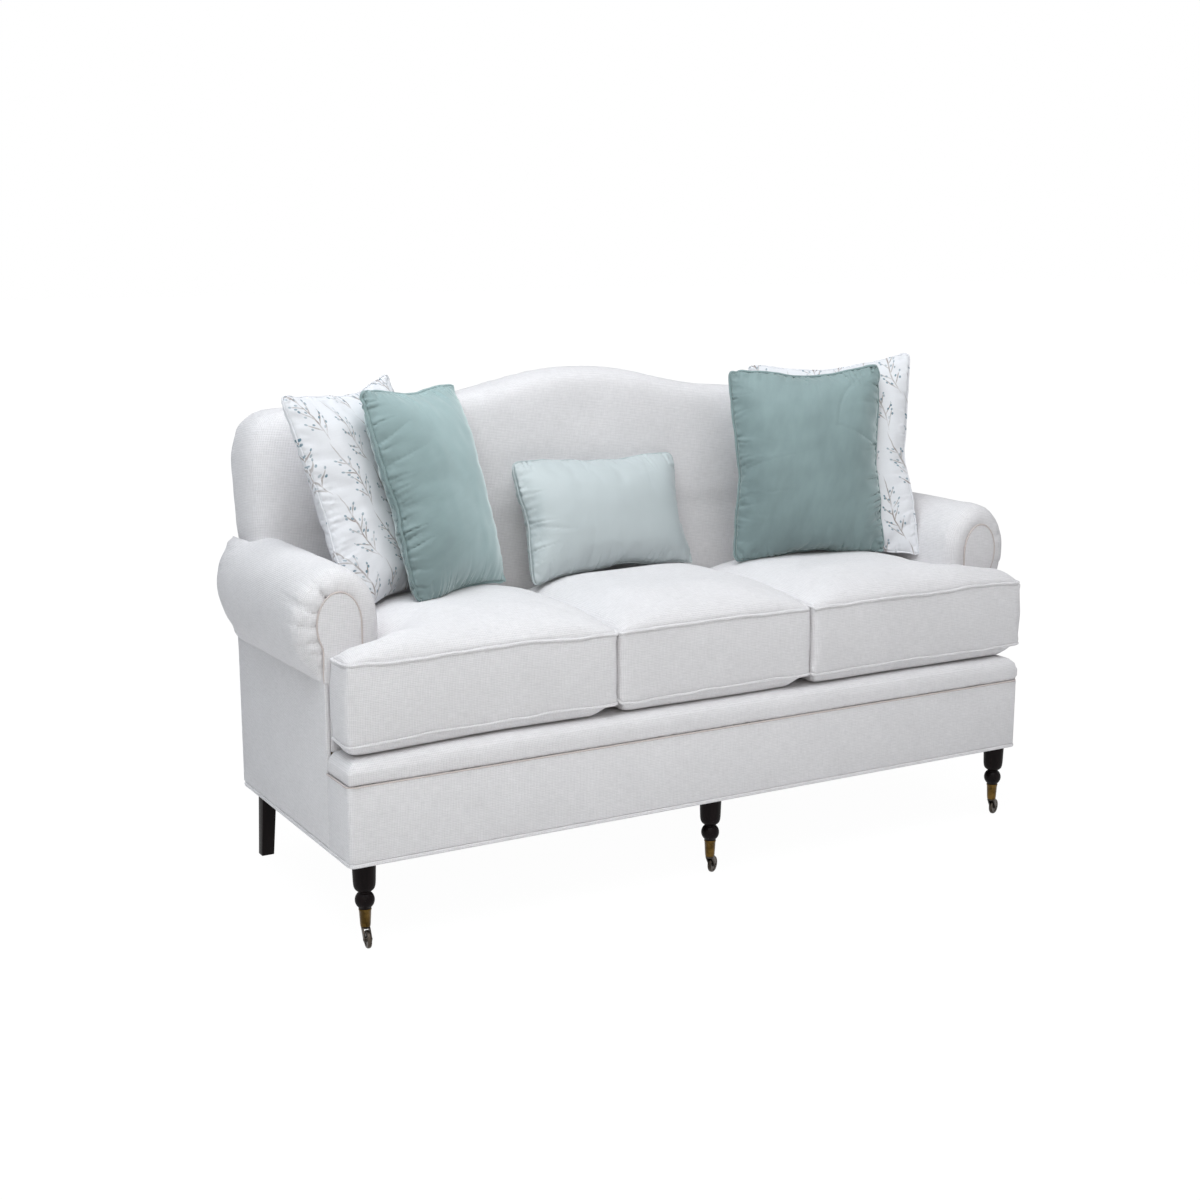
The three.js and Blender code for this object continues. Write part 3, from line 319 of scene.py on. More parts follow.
def sprig_effect():
    """A half-drop repeat of one budded twig, turned a little and mirrored in every other column."""
    def build(tree, given):
        turned = add_node(tree, "ShaderNodeMapping", {"Vector": given["Vector"], "Rotation": (0, 0, SPRIG_TURN)})
        x, y, _ = split_up(tree, turned.outputs[0])
        across = divided(tree, x, times(tree, given["Height"], COLUMN_WIDTH))
        column = whole(tree, across)
        odd = remainder(tree, unsigned(tree, column), 2.0)
        mirror = minus(tree, 1.0, times(tree, odd, 2.0))
        u = times(tree, times(tree, minus(tree, minus(tree, across, column), 0.5), COLUMN_WIDTH), mirror)
        risen = plus(tree, divided(tree, y, given["Height"]), times(tree, odd, HALF_DROP))
        v = minus(tree, risen, whole(tree, risen))
        bow = times(tree, sine(tree, times(tree, v, STEM_WAVES)), STEM_BOW)
        place = add_node(tree, "ShaderNodeCombineXYZ", {"X": minus(tree, u, bow), "Y": v}).outputs[0]

        def spot(middle, turn, broad, long):
            at = add_node(tree, "ShaderNodeMapping", {
                "Vector": place, "Location": (*middle[:2], 0), "Rotation": (0, 0, math.radians(turn)),
                "Scale": (broad, long, 1)}, vector_type="TEXTURE").outputs[0]
            return ramp(tree, vector_step(tree, "LENGTH", first=at)["Value"], 1.12, 0.8)

        stems, buds = spot((0, STEM_HALF), 0, STEM_WIDTH, STEM_HALF), None
        for number in range(TWIG_COUNT):
            side = -1 if number % 2 else 1
            turn = TWIG_TURN + 9 * (number % 3 - 1)
            long = TWIG_REACH * (1 - 0.06 * number)
            lean = Vector((side * math.sin(math.radians(turn)), math.cos(math.radians(turn)), 0)) * long
            foot = Vector((0, FIRST_TWIG + TWIG_STEP * number, 0))
            stems = larger(tree, stems, spot(foot + lean / 2, -side * turn, TWIG_WIDTH, long / 2))
            for share, out in BUD_PLACES:
                mask = spot(foot + lean * share + Vector((out, out / 2, 0)), -side * turn, *BUD_SIZE)
                buds = mask if buds is None else larger(tree, buds, mask)
        return {"Buds": buds, "Stems": stems}
    return effect("Sprig", {"Height": 0.17}, ("Buds", "Stems"), build)


# The shader inputs that a finish sets, by short names
LOOK_INPUTS = {
    "rough": "Roughness", "gloss": "Specular IOR Level", "sheen": "Sheen Weight", "sheen_rough": "Sheen Roughness",
    "tint": "Sheen Tint", "coat": "Coat Weight", "coat_rough": "Coat Roughness", "metal": "Metallic",
}


class Finish:
    """A material with one Principled shader, and the steps that feed it."""

    def __init__(self, name, base, **inputs):
        self.made = bpy.data.materials.new(name)
        self.made.use_nodes = True
        self.tree = self.made.node_tree
        self.shader = self.tree.nodes["Principled BSDF"]
        self.base = tuple(base)
        for key, value in inputs.items():
            self.shader.inputs[LOOK_INPUTS[key]].default_value = value

    def on_cloth(self):
        return add_node(self.tree, "ShaderNodeUVMap", uv_map="Cloth").outputs[0]

    def on_object(self):
        return add_node(self.tree, "ShaderNodeTexCoord").outputs["Object"]

    def shade(self, share):
        return tuple(max(0.0, min(1.0, c * share)) for c in self.base)

    def shades(self, mask, dark, light):
        """The base colour, from dark to light by a mask."""
        return blend_colour(self.tree, mask, self.shade(dark), self.shade(light))

    def colour(self, value):
        feed(self.tree, self.shader.inputs["Base Color"], value)

    def roughness(self, mask, *ends):
        feed(self.tree, self.shader.inputs["Roughness"], ramp(self.tree, mask, *ends))

    def bumps(self, height, strength, distance):
        bump = add_node(self.tree, "ShaderNodeBump", {"Height": height, "Strength": strength, "Distance": distance})
        self.tree.links.new(bump.outputs[0], self.shader.inputs["Normal"])
        return self.made


def linen_finish():
    covers = settings("covers")
    look = Finish("Linen", covers.linen, rough=0.92, gloss=0.2, sheen=0.1, sheen_rough=0.5)
    weave = use_effect(look.tree, weave_effect(), look.on_cloth(), Pitch=covers.thread_pitch)
    # Painted shade: the hollows between the raised threads are darkened towards 0.72 of the linen's colour
    weave_shading = ramp(look.tree, weave["Height"], 0.2, 1.1)
    look.colour(blend_colour(look.tree, weave_shading, look.shade(0.72), look.shades(weave["Shade"], 0.9, 1.06)))
    return look.bumps(weave["Height"], 0.65, 0.0010)


# The print's uneven edges, as a noise scale and a distance, and the noise scale of its fading
UNEVEN, UNEVEN_SHIFT, FADING = 26.0, 0.008, 45.0


def print_finish():
    pillows = settings("pillows")
    look = Finish("Sprig print", pillows.ground, rough=0.88, gloss=0.25, sheen=0.1, sheen_rough=0.5)
    tree, place = look.tree, look.on_cloth()
    weave = use_effect(tree, weave_effect(), place, Pitch=0.0012)
    wander = add_node(tree, "ShaderNodeTexNoise", {"Vector": place, "Scale": UNEVEN, "Detail": 2.0})
    offset = vector_step(tree, "SUBTRACT", first=wander.outputs["Color"], second=(0.5, 0.5, 0.5))[0]
    small = vector_step(tree, "SCALE", first=offset, factor=UNEVEN_SHIFT)[0]
    drawn = vector_step(tree, "ADD", first=place, second=small)[0]
    sprig = use_effect(tree, sprig_effect(), drawn, Height=pillows.sprig_height)
    fade = add_node(tree, "ShaderNodeTexNoise", {"Vector": place, "Scale": FADING, "Detail": 3.0}).outputs[0]
    ink = ramp(tree, fade, 0.25, 0.62)
    printed = look.shades(weave["Shade"], 0.97, 1.03)
    for layer, ink_colour in (("Stems", pillows.stem), ("Buds", pillows.bud)):
        printed = blend_colour(tree, times(tree, sprig[layer], ink), printed, tuple(ink_colour))
    look.colour(printed)
    return look.bumps(weave["Height"], 0.15, 0.0003)


def velvet_finish(name, slope, lift):
    look = Finish(name, settings("pillows").velvet, rough=0.62, gloss=0.25, sheen=1.0, sheen_rough=0.4,
                  tint=(0.86, 0.95, 0.95, 1))
    pile_and_light = use_effect(look.tree, nap_and_light_effect(), look.on_cloth(), Slope=slope, Raise=lift)
    # Painted light: the colour runs from 0.7 to 1.6 times the velvet's, darker low and lighter high on the cloth,
    # standing in for its sheen and for light falling off; slope and lift set this painted light
    look.colour(look.shades(pile_and_light["Lay and painted light"], 0.7, 1.6))
    look.roughness(pile_and_light["Lay and painted light"], -1.0, 1.6)
    return look.bumps(pile_and_light["Grain"], 0.25, 0.0004)


def satin_finish():
    look = Finish("Satin", settings("pillows").satin, rough=0.42, gloss=0.45, sheen=0.3, sheen_rough=0.3)
    place = look.on_cloth()
    weave = use_effect(look.tree, weave_effect(), place, Pitch=0.0009)
    pile_and_light = use_effect(look.tree, nap_and_light_effect(), place)
    # Partly painted shade: the colour varies at random with the pile, and is also lighter towards the top of the
    # cloth and darker towards its foot, standing in for how light falls
    look.colour(look.shades(pile_and_light["Lay and painted light"], 0.93, 1.06))
    look.roughness(pile_and_light["Lay and painted light"], -0.9, 2.4)
    return look.bumps(weave["Height"], 0.12, 0.0002)


def woven(look, place, pitch, shades, bumps):
    """A plain weave of one colour between two shades, with bumps of a strength and a height."""
    weave = use_effect(look.tree, weave_effect(), place, Pitch=pitch)
    look.colour(look.shades(weave["Shade"], *shades))
    return look.bumps(weave["Height"], *bumps)


def thread_and_seam_shade_finish():
    # Partly painted shade: the seam cords take this darker colour for the shade in the seam as well as for the thread
    look = Finish("Thread and seam shade", settings("covers").thread_and_seam_shade, rough=0.9, gloss=0.2)
    return woven(look, look.on_cloth(), 0.0022, (0.9, 1.08), (0.3, 0.0005))


def lining_finish():
    look = Finish("Lining", settings("covers").lining, rough=0.95, gloss=0.15)
    return woven(look, look.on_object(), 0.0016, (0.7, 1.6), (0.4, 0.0004))


def wood_finish(name, base, coat, contrast):
    look = Finish(name, base, gloss=0.06, coat=coat, coat_rough=0.06)
    place = look.on_object()
    grain = use_effect(look.tree, grain_effect(), place)
    wear = use_effect(look.tree, wear_effect(), place)
    wood = look.shades(grain["Grain"], 1 - contrast, 1 + contrast)
    look.colour(blend_colour(look.tree, times(look.tree, wear["Wear"], 0.15), wood, look.shade(1.8)))
    look.roughness(wear["Fine"], -0.9, 2.1)
    return look.bumps(grain["Pores"], 0.12, 0.0003)


def metal_finish(name, base, polished, dull):
    look = Finish(name, base, metal=1.0)
    wear = use_effect(look.tree, wear_effect(), look.on_object())
    look.colour(look.shades(wear["Wear"], 0.55, 1.25))
    look.roughness(wear["Fine"], 0.0, 1.0, dull, polished)
    return look.bumps(wear["Fine"], 0.1, 0.0002)


def finish(name):
    """The finish of that name, made once."""
    timber = settings("timber")
    makers = {
        "Linen": linen_finish,
        "Sprig print": print_finish,
        # Two copies of one velvet that differ only in painted light: the left one's is steeper and lighter overall,
        # the right one's gentler and darker
        "Velvet left painted light": lambda: velvet_finish(name, 1.9, 0.20),
        "Velvet right painted light": lambda: velvet_finish(name, 0.35, -0.075),
        "Satin": satin_finish,
        "Thread and seam shade": thread_and_seam_shade_finish,
        "Lining": lining_finish,
        "Hardwood": lambda: wood_finish(name, timber.hardwood, 0.0, 0.22),
        "Espresso": lambda: wood_finish(name, timber.espresso, 0.05, 0.35),
        "Brass": lambda: metal_finish(name, timber.brass, 0.24, 0.42),
        "Iron": lambda: metal_finish(name, timber.iron, 0.3, 0.5),
    }
    return bpy.data.materials.get(name) or makers[name]()


# Meshes and objects
def cad_copy(*nodes):
    """The merged meshes of frame nodes, in one bmesh."""
    bm = bmesh.new()
    for node in nodes:
        bm.from_mesh(frame["nodes"][node].data)
    bmesh.ops.remove_doubles(bm, verts=bm.verts, dist=MERGE)
    return bm


def shown(name, data):
    piece = bpy.data.objects.new(name, data)
    bpy.context.scene.collection.objects.link(piece)
    return piece


def stand(name, bm):
    mesh = bpy.data.meshes.new(name)
    bm.to_mesh(mesh)
    bm.free()
    return shown(name, mesh)


def taken_down(piece):
    """The bmesh of an object as its modifiers leave it. The object is removed."""
    evaluated = piece.evaluated_get(bpy.context.evaluated_depsgraph_get())
    bm = bmesh.new()
    bm.from_mesh(evaluated.to_mesh())
    evaluated.to_mesh_clear()
    data = piece.data
    bpy.data.objects.remove(piece)
    (bpy.data.curves if isinstance(data, bpy.types.Curve) else bpy.data.meshes).remove(data)
    return bm


def voxelled(bm, size):
    piece = stand("voxelled", bm)
    modifier = piece.modifiers.new("Remesh", "REMESH")
    modifier.mode = "VOXEL"
    modifier.voxel_size = size
    return taken_down(piece)


def refined(bm):
    """The same surface with four faces for each one, smoothed."""
    piece = stand("refined", bm)
    modifier = piece.modifiers.new("Subdivision", "SUBSURF")
    modifier.levels = modifier.render_levels = 1
    return taken_down(piece)


def eased(bm, times_over, where=None):
    """Smooths a form, or those of its points that a test picks out."""
    verts = [v for v in bm.verts if where is None or where(v.co)]
    for _ in range(times_over):
        bmesh.ops.smooth_vert(bm, verts=verts, factor=0.5, use_axis_x=True, use_axis_y=True, use_axis_z=True)
    return bm


def shifted(bm, picked, shift):
    """Moves the points that a test picks out."""
    for vert in bm.verts:
        if picked(vert.co):
            vert.co += Vector(shift)
    return bm


def pushed(bm, depth):
    """Moves each point along its normal by depth(point), all at once."""
    bm.normal_update()
    for vert, move in [(vert, vert.normal * depth(vert.co)) for vert in bm.verts]:
        vert.co += move
    return bm


SWELL_FRAMES = 20


def swelled(bm, pressure, slack, pinned, give):
    """Lets the fill press a closed cover outwards. give(point) says how far that point may move."""
    start = [v.co.copy() for v in bm.verts]
    held = [v.index for v in bm.verts if pinned(v.co)]
    piece = stand("swelled", bm)
    piece.vertex_groups.new(name="seam").add(held, 1.0, "REPLACE")
    cloth = piece.modifiers.new("Cloth", "CLOTH")
    for key, value in {
            "quality": 5, "mass": 0.2, "tension_stiffness": 12, "compression_stiffness": 12, "shear_stiffness": 6,
            "bending_stiffness": 0.3, "use_pressure": True, "uniform_pressure_force": pressure,
            "shrink_min": -slack, "vertex_group_mass": "seam"}.items():
        setattr(cloth.settings, key, value)
    cloth.settings.effector_weights.gravity = 0
    cloth.collision_settings.use_collision = False
    cloth.point_cache.frame_start, cloth.point_cache.frame_end = 1, SWELL_FRAMES
    for number in range(1, SWELL_FRAMES + 1):
        bpy.context.scene.frame_set(number)
    bm = taken_down(piece)
    bpy.context.scene.frame_set(1)
    bm.verts.ensure_lookup_table()
    for vert, rest in zip(bm.verts, start):
        swell, reach = vert.co - rest, give(rest)
        if swell.length > reach:
            vert.co = rest + swell * (reach / swell.length)
    return bm


def eased_step(value, low, high):
    """A value carried from low to high onto a soft step from 0 to 1."""
    share = min(max((value - low) / (high - low), 0.0), 1.0)
    return share * share * (3 - 2 * share)


def chance(number, seed):
    """A repeatable value from 0 to 1 for a whole number."""
    return math.modf(abs(math.sin(number * 12.9898 + seed * 78.233)) * 43758.5453)[0]


def sway(*place):
    return noise.noise(Vector(place))


class Seam:
    """A sewn line: finds how far a point is from it, and how far along it."""

    def __init__(self, path, closed=True, step=0.003):
        self.path = densified(path, step, closed)
        self.closed = closed
        self.along = [0.0]
        self.tree = kdtree.KDTree(len(self.path))
        for index, point in enumerate(self.path):
            self.tree.insert(point, index)
            if index:
                self.along.append(self.along[-1] + (point - self.path[index - 1]).length)
        self.tree.balance()

    def near(self, point):
        _, index, distance = self.tree.find(point)
        return index, distance

    def softened(self, times_over, wander=0.0, away=None, seed=0.0):
        """The same line with its corners eased, and a slight wander in or out from a middle."""
        points = [p.copy() for p in self.path]
        count = len(points)
        for _ in range(times_over):
            points = [p if not self.closed and i in (0, count - 1) else
                      (points[i - 1] + p * 2 + points[(i + 1) % count]) / 4 for i, p in enumerate(points)]
        if wander:
            for point, place in zip(points, self.along):
                drift = sway(place / 0.045, seed, 2.5) + 1.6 * sway(place / 0.13, seed, 7.5)
                point += (point - away).normalized() * wander * drift
        return points


def off_seams(seams, point):
    """How far a point is from the nearest of some seams."""
    return min(seam.near(point)[1] for seam in seams)


def redrawn(bm, seam, points, reach):
    """Moves a seam to new points and takes the cover round it along."""
    for vert in bm.verts:
        index, distance = seam.near(vert.co)
        if distance < reach:
            vert.co += (points[index] - seam.path[index]) * (1 - eased_step(distance, 0.0, reach))
    return bm


def puckered(bm, seam, seed, depth, reach, pitch, where=lambda point: 1.0, lean=0.35):
    """Draws creases in to a seam. Each has a depth, a length and a lean of its own.

    Depth and reach are a usual crease's, and pitch is the distance from one crease to the next."""
    def crease(point):
        index, distance = seam.near(point)
        share = where(point) if distance <= 2.6 * reach else 0.0
        if not share:
            return 0.0
        place = seam.along[index]
        place += distance * lean * 2 * sway(place / 0.09, seed, 4.5)
        place += 0.5 * pitch * sway(place / (1.9 * pitch), seed, 9.5)
        number = math.floor(place / pitch)
        phase = place / pitch - number
        blend = eased_step(phase, 0.0, 1.0)
        strength, size = (chance(number, seed + k) * (1 - blend) + chance(number + 1, seed + k) * blend
                          for k in (0, 5))
        fade = math.exp(-((distance / (reach * (0.35 + 1.3 * size))) ** 2)) * eased_step(distance, 0.0, 0.006)
        fold = math.sqrt(abs(math.sin(math.pi * phase))) - 0.72
        return depth * (0.15 + 1.5 * strength * strength) * fade * fold * share
    return pushed(bm, crease)


def drawn_in(bm, seam, depth, reach):
    """Sinks the cover along a seam, so that its welt stands in a valley."""
    return pushed(bm, lambda point: -depth * math.exp(-((seam.near(point)[1] / reach) ** 2)))


def rumpled(bm, seed, depth, size, where=lambda point: 1.0):
    """Slow, shallow unevenness of a stuffed surface."""
    def swell(point):
        broad, fine = sway(*(point / size + Vector((seed, 0, 0)))), sway(*(point / size * 2.7))
        return (broad + 0.4 * fine) * depth * where(point)
    return pushed(bm, swell)


# The skins of finished forms, which later pieces are laid on or kept clear of
SKINS = {}


def remember(name, bm):
    SKINS[name] = BVHTree.FromBMesh(bm)


def kept_clear(bm, names, gap=0.0008):
    """Presses the points that reach into a remembered neighbour back onto its surface."""
    for vert in bm.verts:
        for name in names:
            found, normal, _, _ = SKINS[name].find_nearest(vert.co, 0.05)
            if found is not None and (vert.co - found).dot(normal) < gap:
                vert.co = found + normal * gap
    return bm


def densified(path, step, closed=True):
    """Points along a path at an even step."""
    ends = path + path[:1] if closed else path
    points = []
    for first, last in zip(ends, ends[1:]):
        count = max(1, round((last - first).length / step))
        points += [first.lerp(last, i / count) for i in range(count)]
    return points if closed else points + [path[-1]]


def rope(path, radius, closed=True):
    """A round cord through the points of a path, as a bmesh."""
    data = bpy.data.curves.new("rope", "CURVE")
    data.dimensions = "3D"
    data.bevel_depth = radius
    data.bevel_resolution = 2
    data.resolution_u = 3
    data.use_fill_caps = not closed
    spline = data.splines.new("BEZIER")
    spline.bezier_points.add(len(path) - 1)
    spline.use_cyclic_u = closed
    for point, place in zip(spline.bezier_points, path):
        point.co = place
        point.handle_left_type = point.handle_right_type = "AUTO"
    bm = taken_down(shown("rope", data))
    bmesh.ops.remove_doubles(bm, verts=bm.verts, dist=MERGE)
    return bm


def merged(first, *others):
    for other in others:
        data = bpy.data.meshes.new("merged")
        other.to_mesh(data)
        other.free()
        first.from_mesh(data)
        bpy.data.meshes.remove(data)
    return first


def ring_at(bm, height):
    """The longest closed ring in which a level plane cuts a form, in order."""
    cut = bm.copy()
    made = bmesh.ops.bisect_plane(cut, geom=[*cut.verts, *cut.edges, *cut.faces], dist=MERGE,
                                  plane_co=(0, 0, height + 3 * MERGE), plane_no=(0, 0, 1))
    edges = [e for e in made["geom_cut"] if isinstance(e, bmesh.types.BMEdge)]
    edges.sort(key=lambda e: tuple(sum((v.co for v in e.verts), Vector()).yx))
    rings = []
    while edges:
        edge = edges.pop(0)
        start, here = sorted(edge.verts, key=lambda v: tuple(v.co.yx))
        ring = [start.co.copy()]
        while edge and here is not start:
            ring.append(here.co.copy())
            edge = next((e for e in edges if here in e.verts), None)
            if edge:
                edges.remove(edge)
                here = edge.other_vert(here)
        rings.append(ring)
    cut.free()
    return max(rings, key=lambda ring: sum((a - b).length for a, b in zip(ring, ring[1:])))


def laid_on(path, name, lift):
    """The points of a path, each brought to the nearest skin of a remembered form and lifted off it."""
    found = [SKINS[name].find_nearest(point) for point in path]
    return [place + normal * lift for place, normal, _, _ in found]


# Cloth coordinates, in metres
def cloth_laid(bm, place_on):
    """Gives each corner of each face the cloth coordinates of place_on(face, point)."""
    layer = bm.loops.layers.uv.get("Cloth") or bm.loops.layers.uv.new("Cloth")
    for face in bm.faces:
        for loop in face.loops:
            loop[layer].uv = place_on(face, loop.vert.co)
    return bm


def cloth_flat(bm, origin, right, up):
    """Lays the cloth flat on a plane."""
    return cloth_laid(bm, lambda face, point: ((point - origin).dot(right), (point - origin).dot(up)))


def cloth_boxed(bm):
    """Lays the cloth on each face from the axis that it faces most."""
    def place_on(face, point):
        x, y, z = (abs(value) for value in face.normal)
        return point.xy if z > max(x, y) else (point.yz if x > y else point.xz)

    bm.normal_update()
    return cloth_laid(bm, place_on)


def cloth_rolled(bm, centre, radius):
    """Wraps the cloth round a roll that runs from front to back."""
    def turn_of(point):
        return math.atan2(point.x - centre.x, point.z - centre.z)

    def place_on(face, point):
        if abs(face.normal.y) > 0.75:
            return point.xz
        start = turn_of(face.calc_center_median())
        return point.y, (start + (turn_of(point) - start + math.pi) % (2 * math.pi) - math.pi) * radius

    bm.normal_update()
    return cloth_laid(bm, place_on)


def present(name, bm, body, material, replaces=(), sharp=None):
    """Puts a finished piece in the scene, on its body. Edges sharper than sharp degrees stay hard."""
    bm.normal_update()
    for face in bm.faces:
        face.smooth = True
    if sharp is not None:
        for edge in bm.edges:
            edge.smooth = len(edge.link_faces) < 2 or edge.calc_face_angle(0) < math.radians(sharp)
    piece = stand(name, bm)
    piece.data.materials.append(finish(material))
    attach(piece, body)
    if replaces:
        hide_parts(*replaces)
    return piece


def linen_piece(name, bm, *nodes, body="sofa", sharp=None, look="Linen", skin=None):
    """Lays cloth on a piece from its main axes and presents it in linen, or in the thread that sews it, whose darker
    colour also paints the shade along the seam.

    Skin is the name by which later pieces find its surface."""
    cloth_boxed(bm)
    if skin:
        remember(skin, bm)
    return present(name, bm, body, look, nodes, sharp)


def planed(node, rounding, segments=2):
    """A copy of a flat-sided node with its long edges rounded over."""
    bm = cad_copy(node)
    bmesh.ops.dissolve_limit(bm, angle_limit=math.radians(1), verts=bm.verts, edges=bm.edges)
    edges = [e for e in bm.edges if e.is_manifold and e.calc_face_angle(0) > math.radians(35)]
    bmesh.ops.bevel(bm, geom=edges, offset=rounding, offset_type="OFFSET", segments=segments, profile=0.5,
                    affect="EDGES", material=-1, clamp_overlap=True)
    return bm


def spun(profile, steps, place):
    """A turned piece from radius and height pairs, moved by a matrix."""
    bm = bmesh.new()
    points = [bm.verts.new((radius, 0, height)) for radius, height in profile]
    edges = [bm.edges.new(pair) for pair in zip(points, points[1:])]
    bmesh.ops.spin(bm, geom=points + edges, cent=(0, 0, 0), axis=(0, 0, 1), angle=2 * math.pi, steps=steps,
                   use_merge=True, use_duplicate=False)
    bmesh.ops.remove_doubles(bm, verts=bm.verts, dist=MERGE)
    bmesh.ops.recalc_face_normals(bm, faces=bm.faces)
    bm.transform(place)
    return bm


def curved(points, steps=6):
    """A smooth line through radius and height pairs."""
    result = []
    count = len(points)
    for i in range(count - 1):
        p0, p1, p2, p3 = (Vector(points[min(max(k, 0), count - 1)]) for k in (i - 1, i, i + 1, i + 2))
        for step in range(steps):
            t = step / steps
            rise = 2 * p0 - 5 * p1 + 4 * p2 - p3
            swing = 3 * p1 - p0 - 3 * p2 + p3
            result.append(tuple((2 * p1 + (p2 - p0) * t + rise * t * t + swing * t * t * t) / 2))
    return result + [tuple(points[-1])]


def sag(point):
    """How far the end of the left cushion droops, and the lip under it with it."""
    return 0.007 * (1 - eased_step(point.x, cad_low.x + 0.06, cad_low.x + 0.40))


# Frame and base
class SOFA_OT_timbers(bpy.types.Operator):
    """Finish the bare frame boards, the seat springs and the dust cover"""

    bl_idname = "sofa.timbers"
    bl_label = "Finish Frame"

    def execute(self, context):
        looks = {"hardwood": "Hardwood", "spring_steel": "Iron", "cambric": "Lining", "iron": "Iron",
                 "brass": "Brass", "espresso": "Espresso"}
        for part in frame["record"]["subparts"]:
            if part["material_slot"] in looks:
                materials = frame["nodes"][part["node"]].data.materials
                materials.clear()
                materials.append(finish(looks[part["material_slot"]]))
        return {"FINISHED"}


# The lip's cut corner, how far its seam is set in, the turn of the base welt, and the angle that keeps an edge hard
LIP_EDGE, SEAM_INSET, WELT_TURN, HARD = 0.010, 0.0002, 0.008, 50
# Mesh sizes of the lip, an arm and its facing
LIP_MESH, ARM_MESH, FACING_MESH = 0.0042, 0.0085, 0.0026
# How far the tops of the side panels are raised into the rolls, and the radii of the sewn seams
PANEL_TOP, PANEL_RISE, LIP_THREAD, ARM_THREAD = 0.03, (0, 0, 0.014), 0.0016, 0.0017


class SOFA_OT_base(bpy.types.Operator):
    """Cover the apron, the lip, the side panels and the outside back, and run the welt round the foot"""

    bl_idname = "sofa.base"
    bl_label = "Cover Base"

    def execute(self, context):
        linen_piece("apron_cover", planed("front_apron", 0.0018), "front_apron", sharp=HARD)
        low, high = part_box("deck_lip")
        lip = eased(voxelled(cad_copy("deck_lip"), LIP_MESH), 2)
        near, left, right = low.y + SEAM_INSET, low.x + SEAM_INSET, high.x - SEAM_INSET
        foot = [Vector((x, y, low.z)) for x, y in (
            (left, high.y), (left, near + LIP_EDGE), (left + LIP_EDGE, near), (right - LIP_EDGE, near),
            (right, near + LIP_EDGE), (right, high.y))]
        for vert in lip.verts:
            vert.co.z -= sag(vert.co) * eased_step(vert.co.z, low.z + 0.02, high.z - 0.01)
        puckered(lip, Seam(foot, closed=False), seed=3.1, depth=0.0010, reach=0.014, pitch=0.03)
        linen_piece("lip_cover", rumpled(lip, seed=4.0, depth=0.0012, size=0.11), "deck_lip")
        # The cord over the lip's seam fills its crack; its darker thread colour is partly painted shade along the
        # seam
        linen_piece("lip_seam", rope(densified(foot, 0.02, False), LIP_THREAD, closed=False), look="Thread and seam shade")
        linen_piece("deck_cover", planed("deck_pad", 0.004), "deck_pad", sharp=HARD)
        for side in PAIR:
            node = "side_panel_" + side
            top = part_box(node)[1].z
            panel = shifted(planed(node, 0.003, 3), lambda p: p.z > top - PANEL_TOP, PANEL_RISE)
            linen_piece("side_cover_" + side, panel, node, sharp=HARD)
        linen_piece("outside_back_cover", planed("outside_back_panel", 0.002), "outside_back_panel", sharp=HARD)
        low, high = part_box("bottom_welt")
        radius = settings("covers").base_welt_radius
        inset, height = radius + WELT_TURN, (low.z + high.z) / 2
        corners = []
        for x, y, start in ((high.x, high.y, 0), (low.x, high.y, 90), (low.x, low.y, 180), (high.x, low.y, 270)):
            middle = Vector((x - math.copysign(inset, x), y - math.copysign(inset, y), height))
            for step in range(4):
                angle = math.radians(start + 30 * step)
                corners.append(middle + Vector((math.cos(angle), math.sin(angle), 0)) * WELT_TURN)
        linen_piece("base_welt", rope(densified(corners, 0.03), radius), "bottom_welt")
        return {"FINISHED"}


# The outside back's slope, the margin kept before it, the height above which the pad is eased, and its fill there
BACK_RAKE, RIM_KEPT, BACK_EASED, BACK_FILL = math.tan(math.radians(8)), 0.016, 0.67, 0.0034
# The heights between which the wings' steps over the arms lie, how far out they are, and how far they come down
STEP_LOW, STEP_HIGH, STEP_OUT, STEP_DROP = 0.60, 0.64, 0.69, (0, 0, -0.022)


class SOFA_OT_back(bpy.types.Operator):
    """Pad the camelback"""

    bl_idname = "sofa.back"
    bl_label = "Pad Back"

    def execute(self, context):
        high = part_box("back_pad")[1]
        wings = shifted(
            cad_copy("back_pad"), lambda p: STEP_LOW < p.z < STEP_HIGH and abs(p.x) > STEP_OUT, STEP_DROP)
        back = eased(voxelled(wings, settings("covers").cover_voxel), 4)
        eased(back, 40, lambda p: p.z > BACK_EASED and p.y < high.y - (high.z - p.z) * BACK_RAKE - RIM_KEPT)
        pushed(back, lambda p: BACK_FILL * eased_step(p.z, BACK_EASED, BACK_EASED + 0.05))
        rumpled(back, seed=2.0, depth=0.0022, size=0.16, where=lambda p: 1.0 if p.y < high.y - 0.03 else 0.0)
        linen_piece("back_cover", back, "back_pad", skin="back")
        return {"FINISHED"}


def facing_path(node, sign):
    """The seam round the front of an arm's roll, from the inner foot over the head to the outer foot."""
    bm = cad_copy(node)
    low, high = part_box(node)
    rim = sorted({(round(v.co.x, 5), round(v.co.z, 5)) for v in bm.verts if v.co.y < low.y + 1e-4})
    bm.free()
    centre = Vector(((low.x + high.x) / 2, 0, low.z + (high.z - low.z) * 0.62))
    head = [Vector((x, low.y, z)) for x, z in rim if z > low.z + 0.004]
    head.sort(key=lambda p: math.atan2(sign * (p.x - centre.x), p.z - centre.z))
    return [Vector((sign * min(abs(low.x), abs(high.x)), low.y, low.z))] + head


# How far an arm's foot is brought down over the side panel, and how far its roll is carried back beside the back
FOOT_DROP, CARRIED_BACK = (0, 0, -0.014), (0, 0.070, 0)
# How near the back and how far off the rear end its points are that are carried
NEAR_BACK, OFF_REAR = 0.006, 0.10
# How often the roll is eased, how far it is filled, and how far in from its front it is left as it is
ROLL_EASED, ROLL_FILL, FRONT_KEPT = 74, 0.0066, 0.03


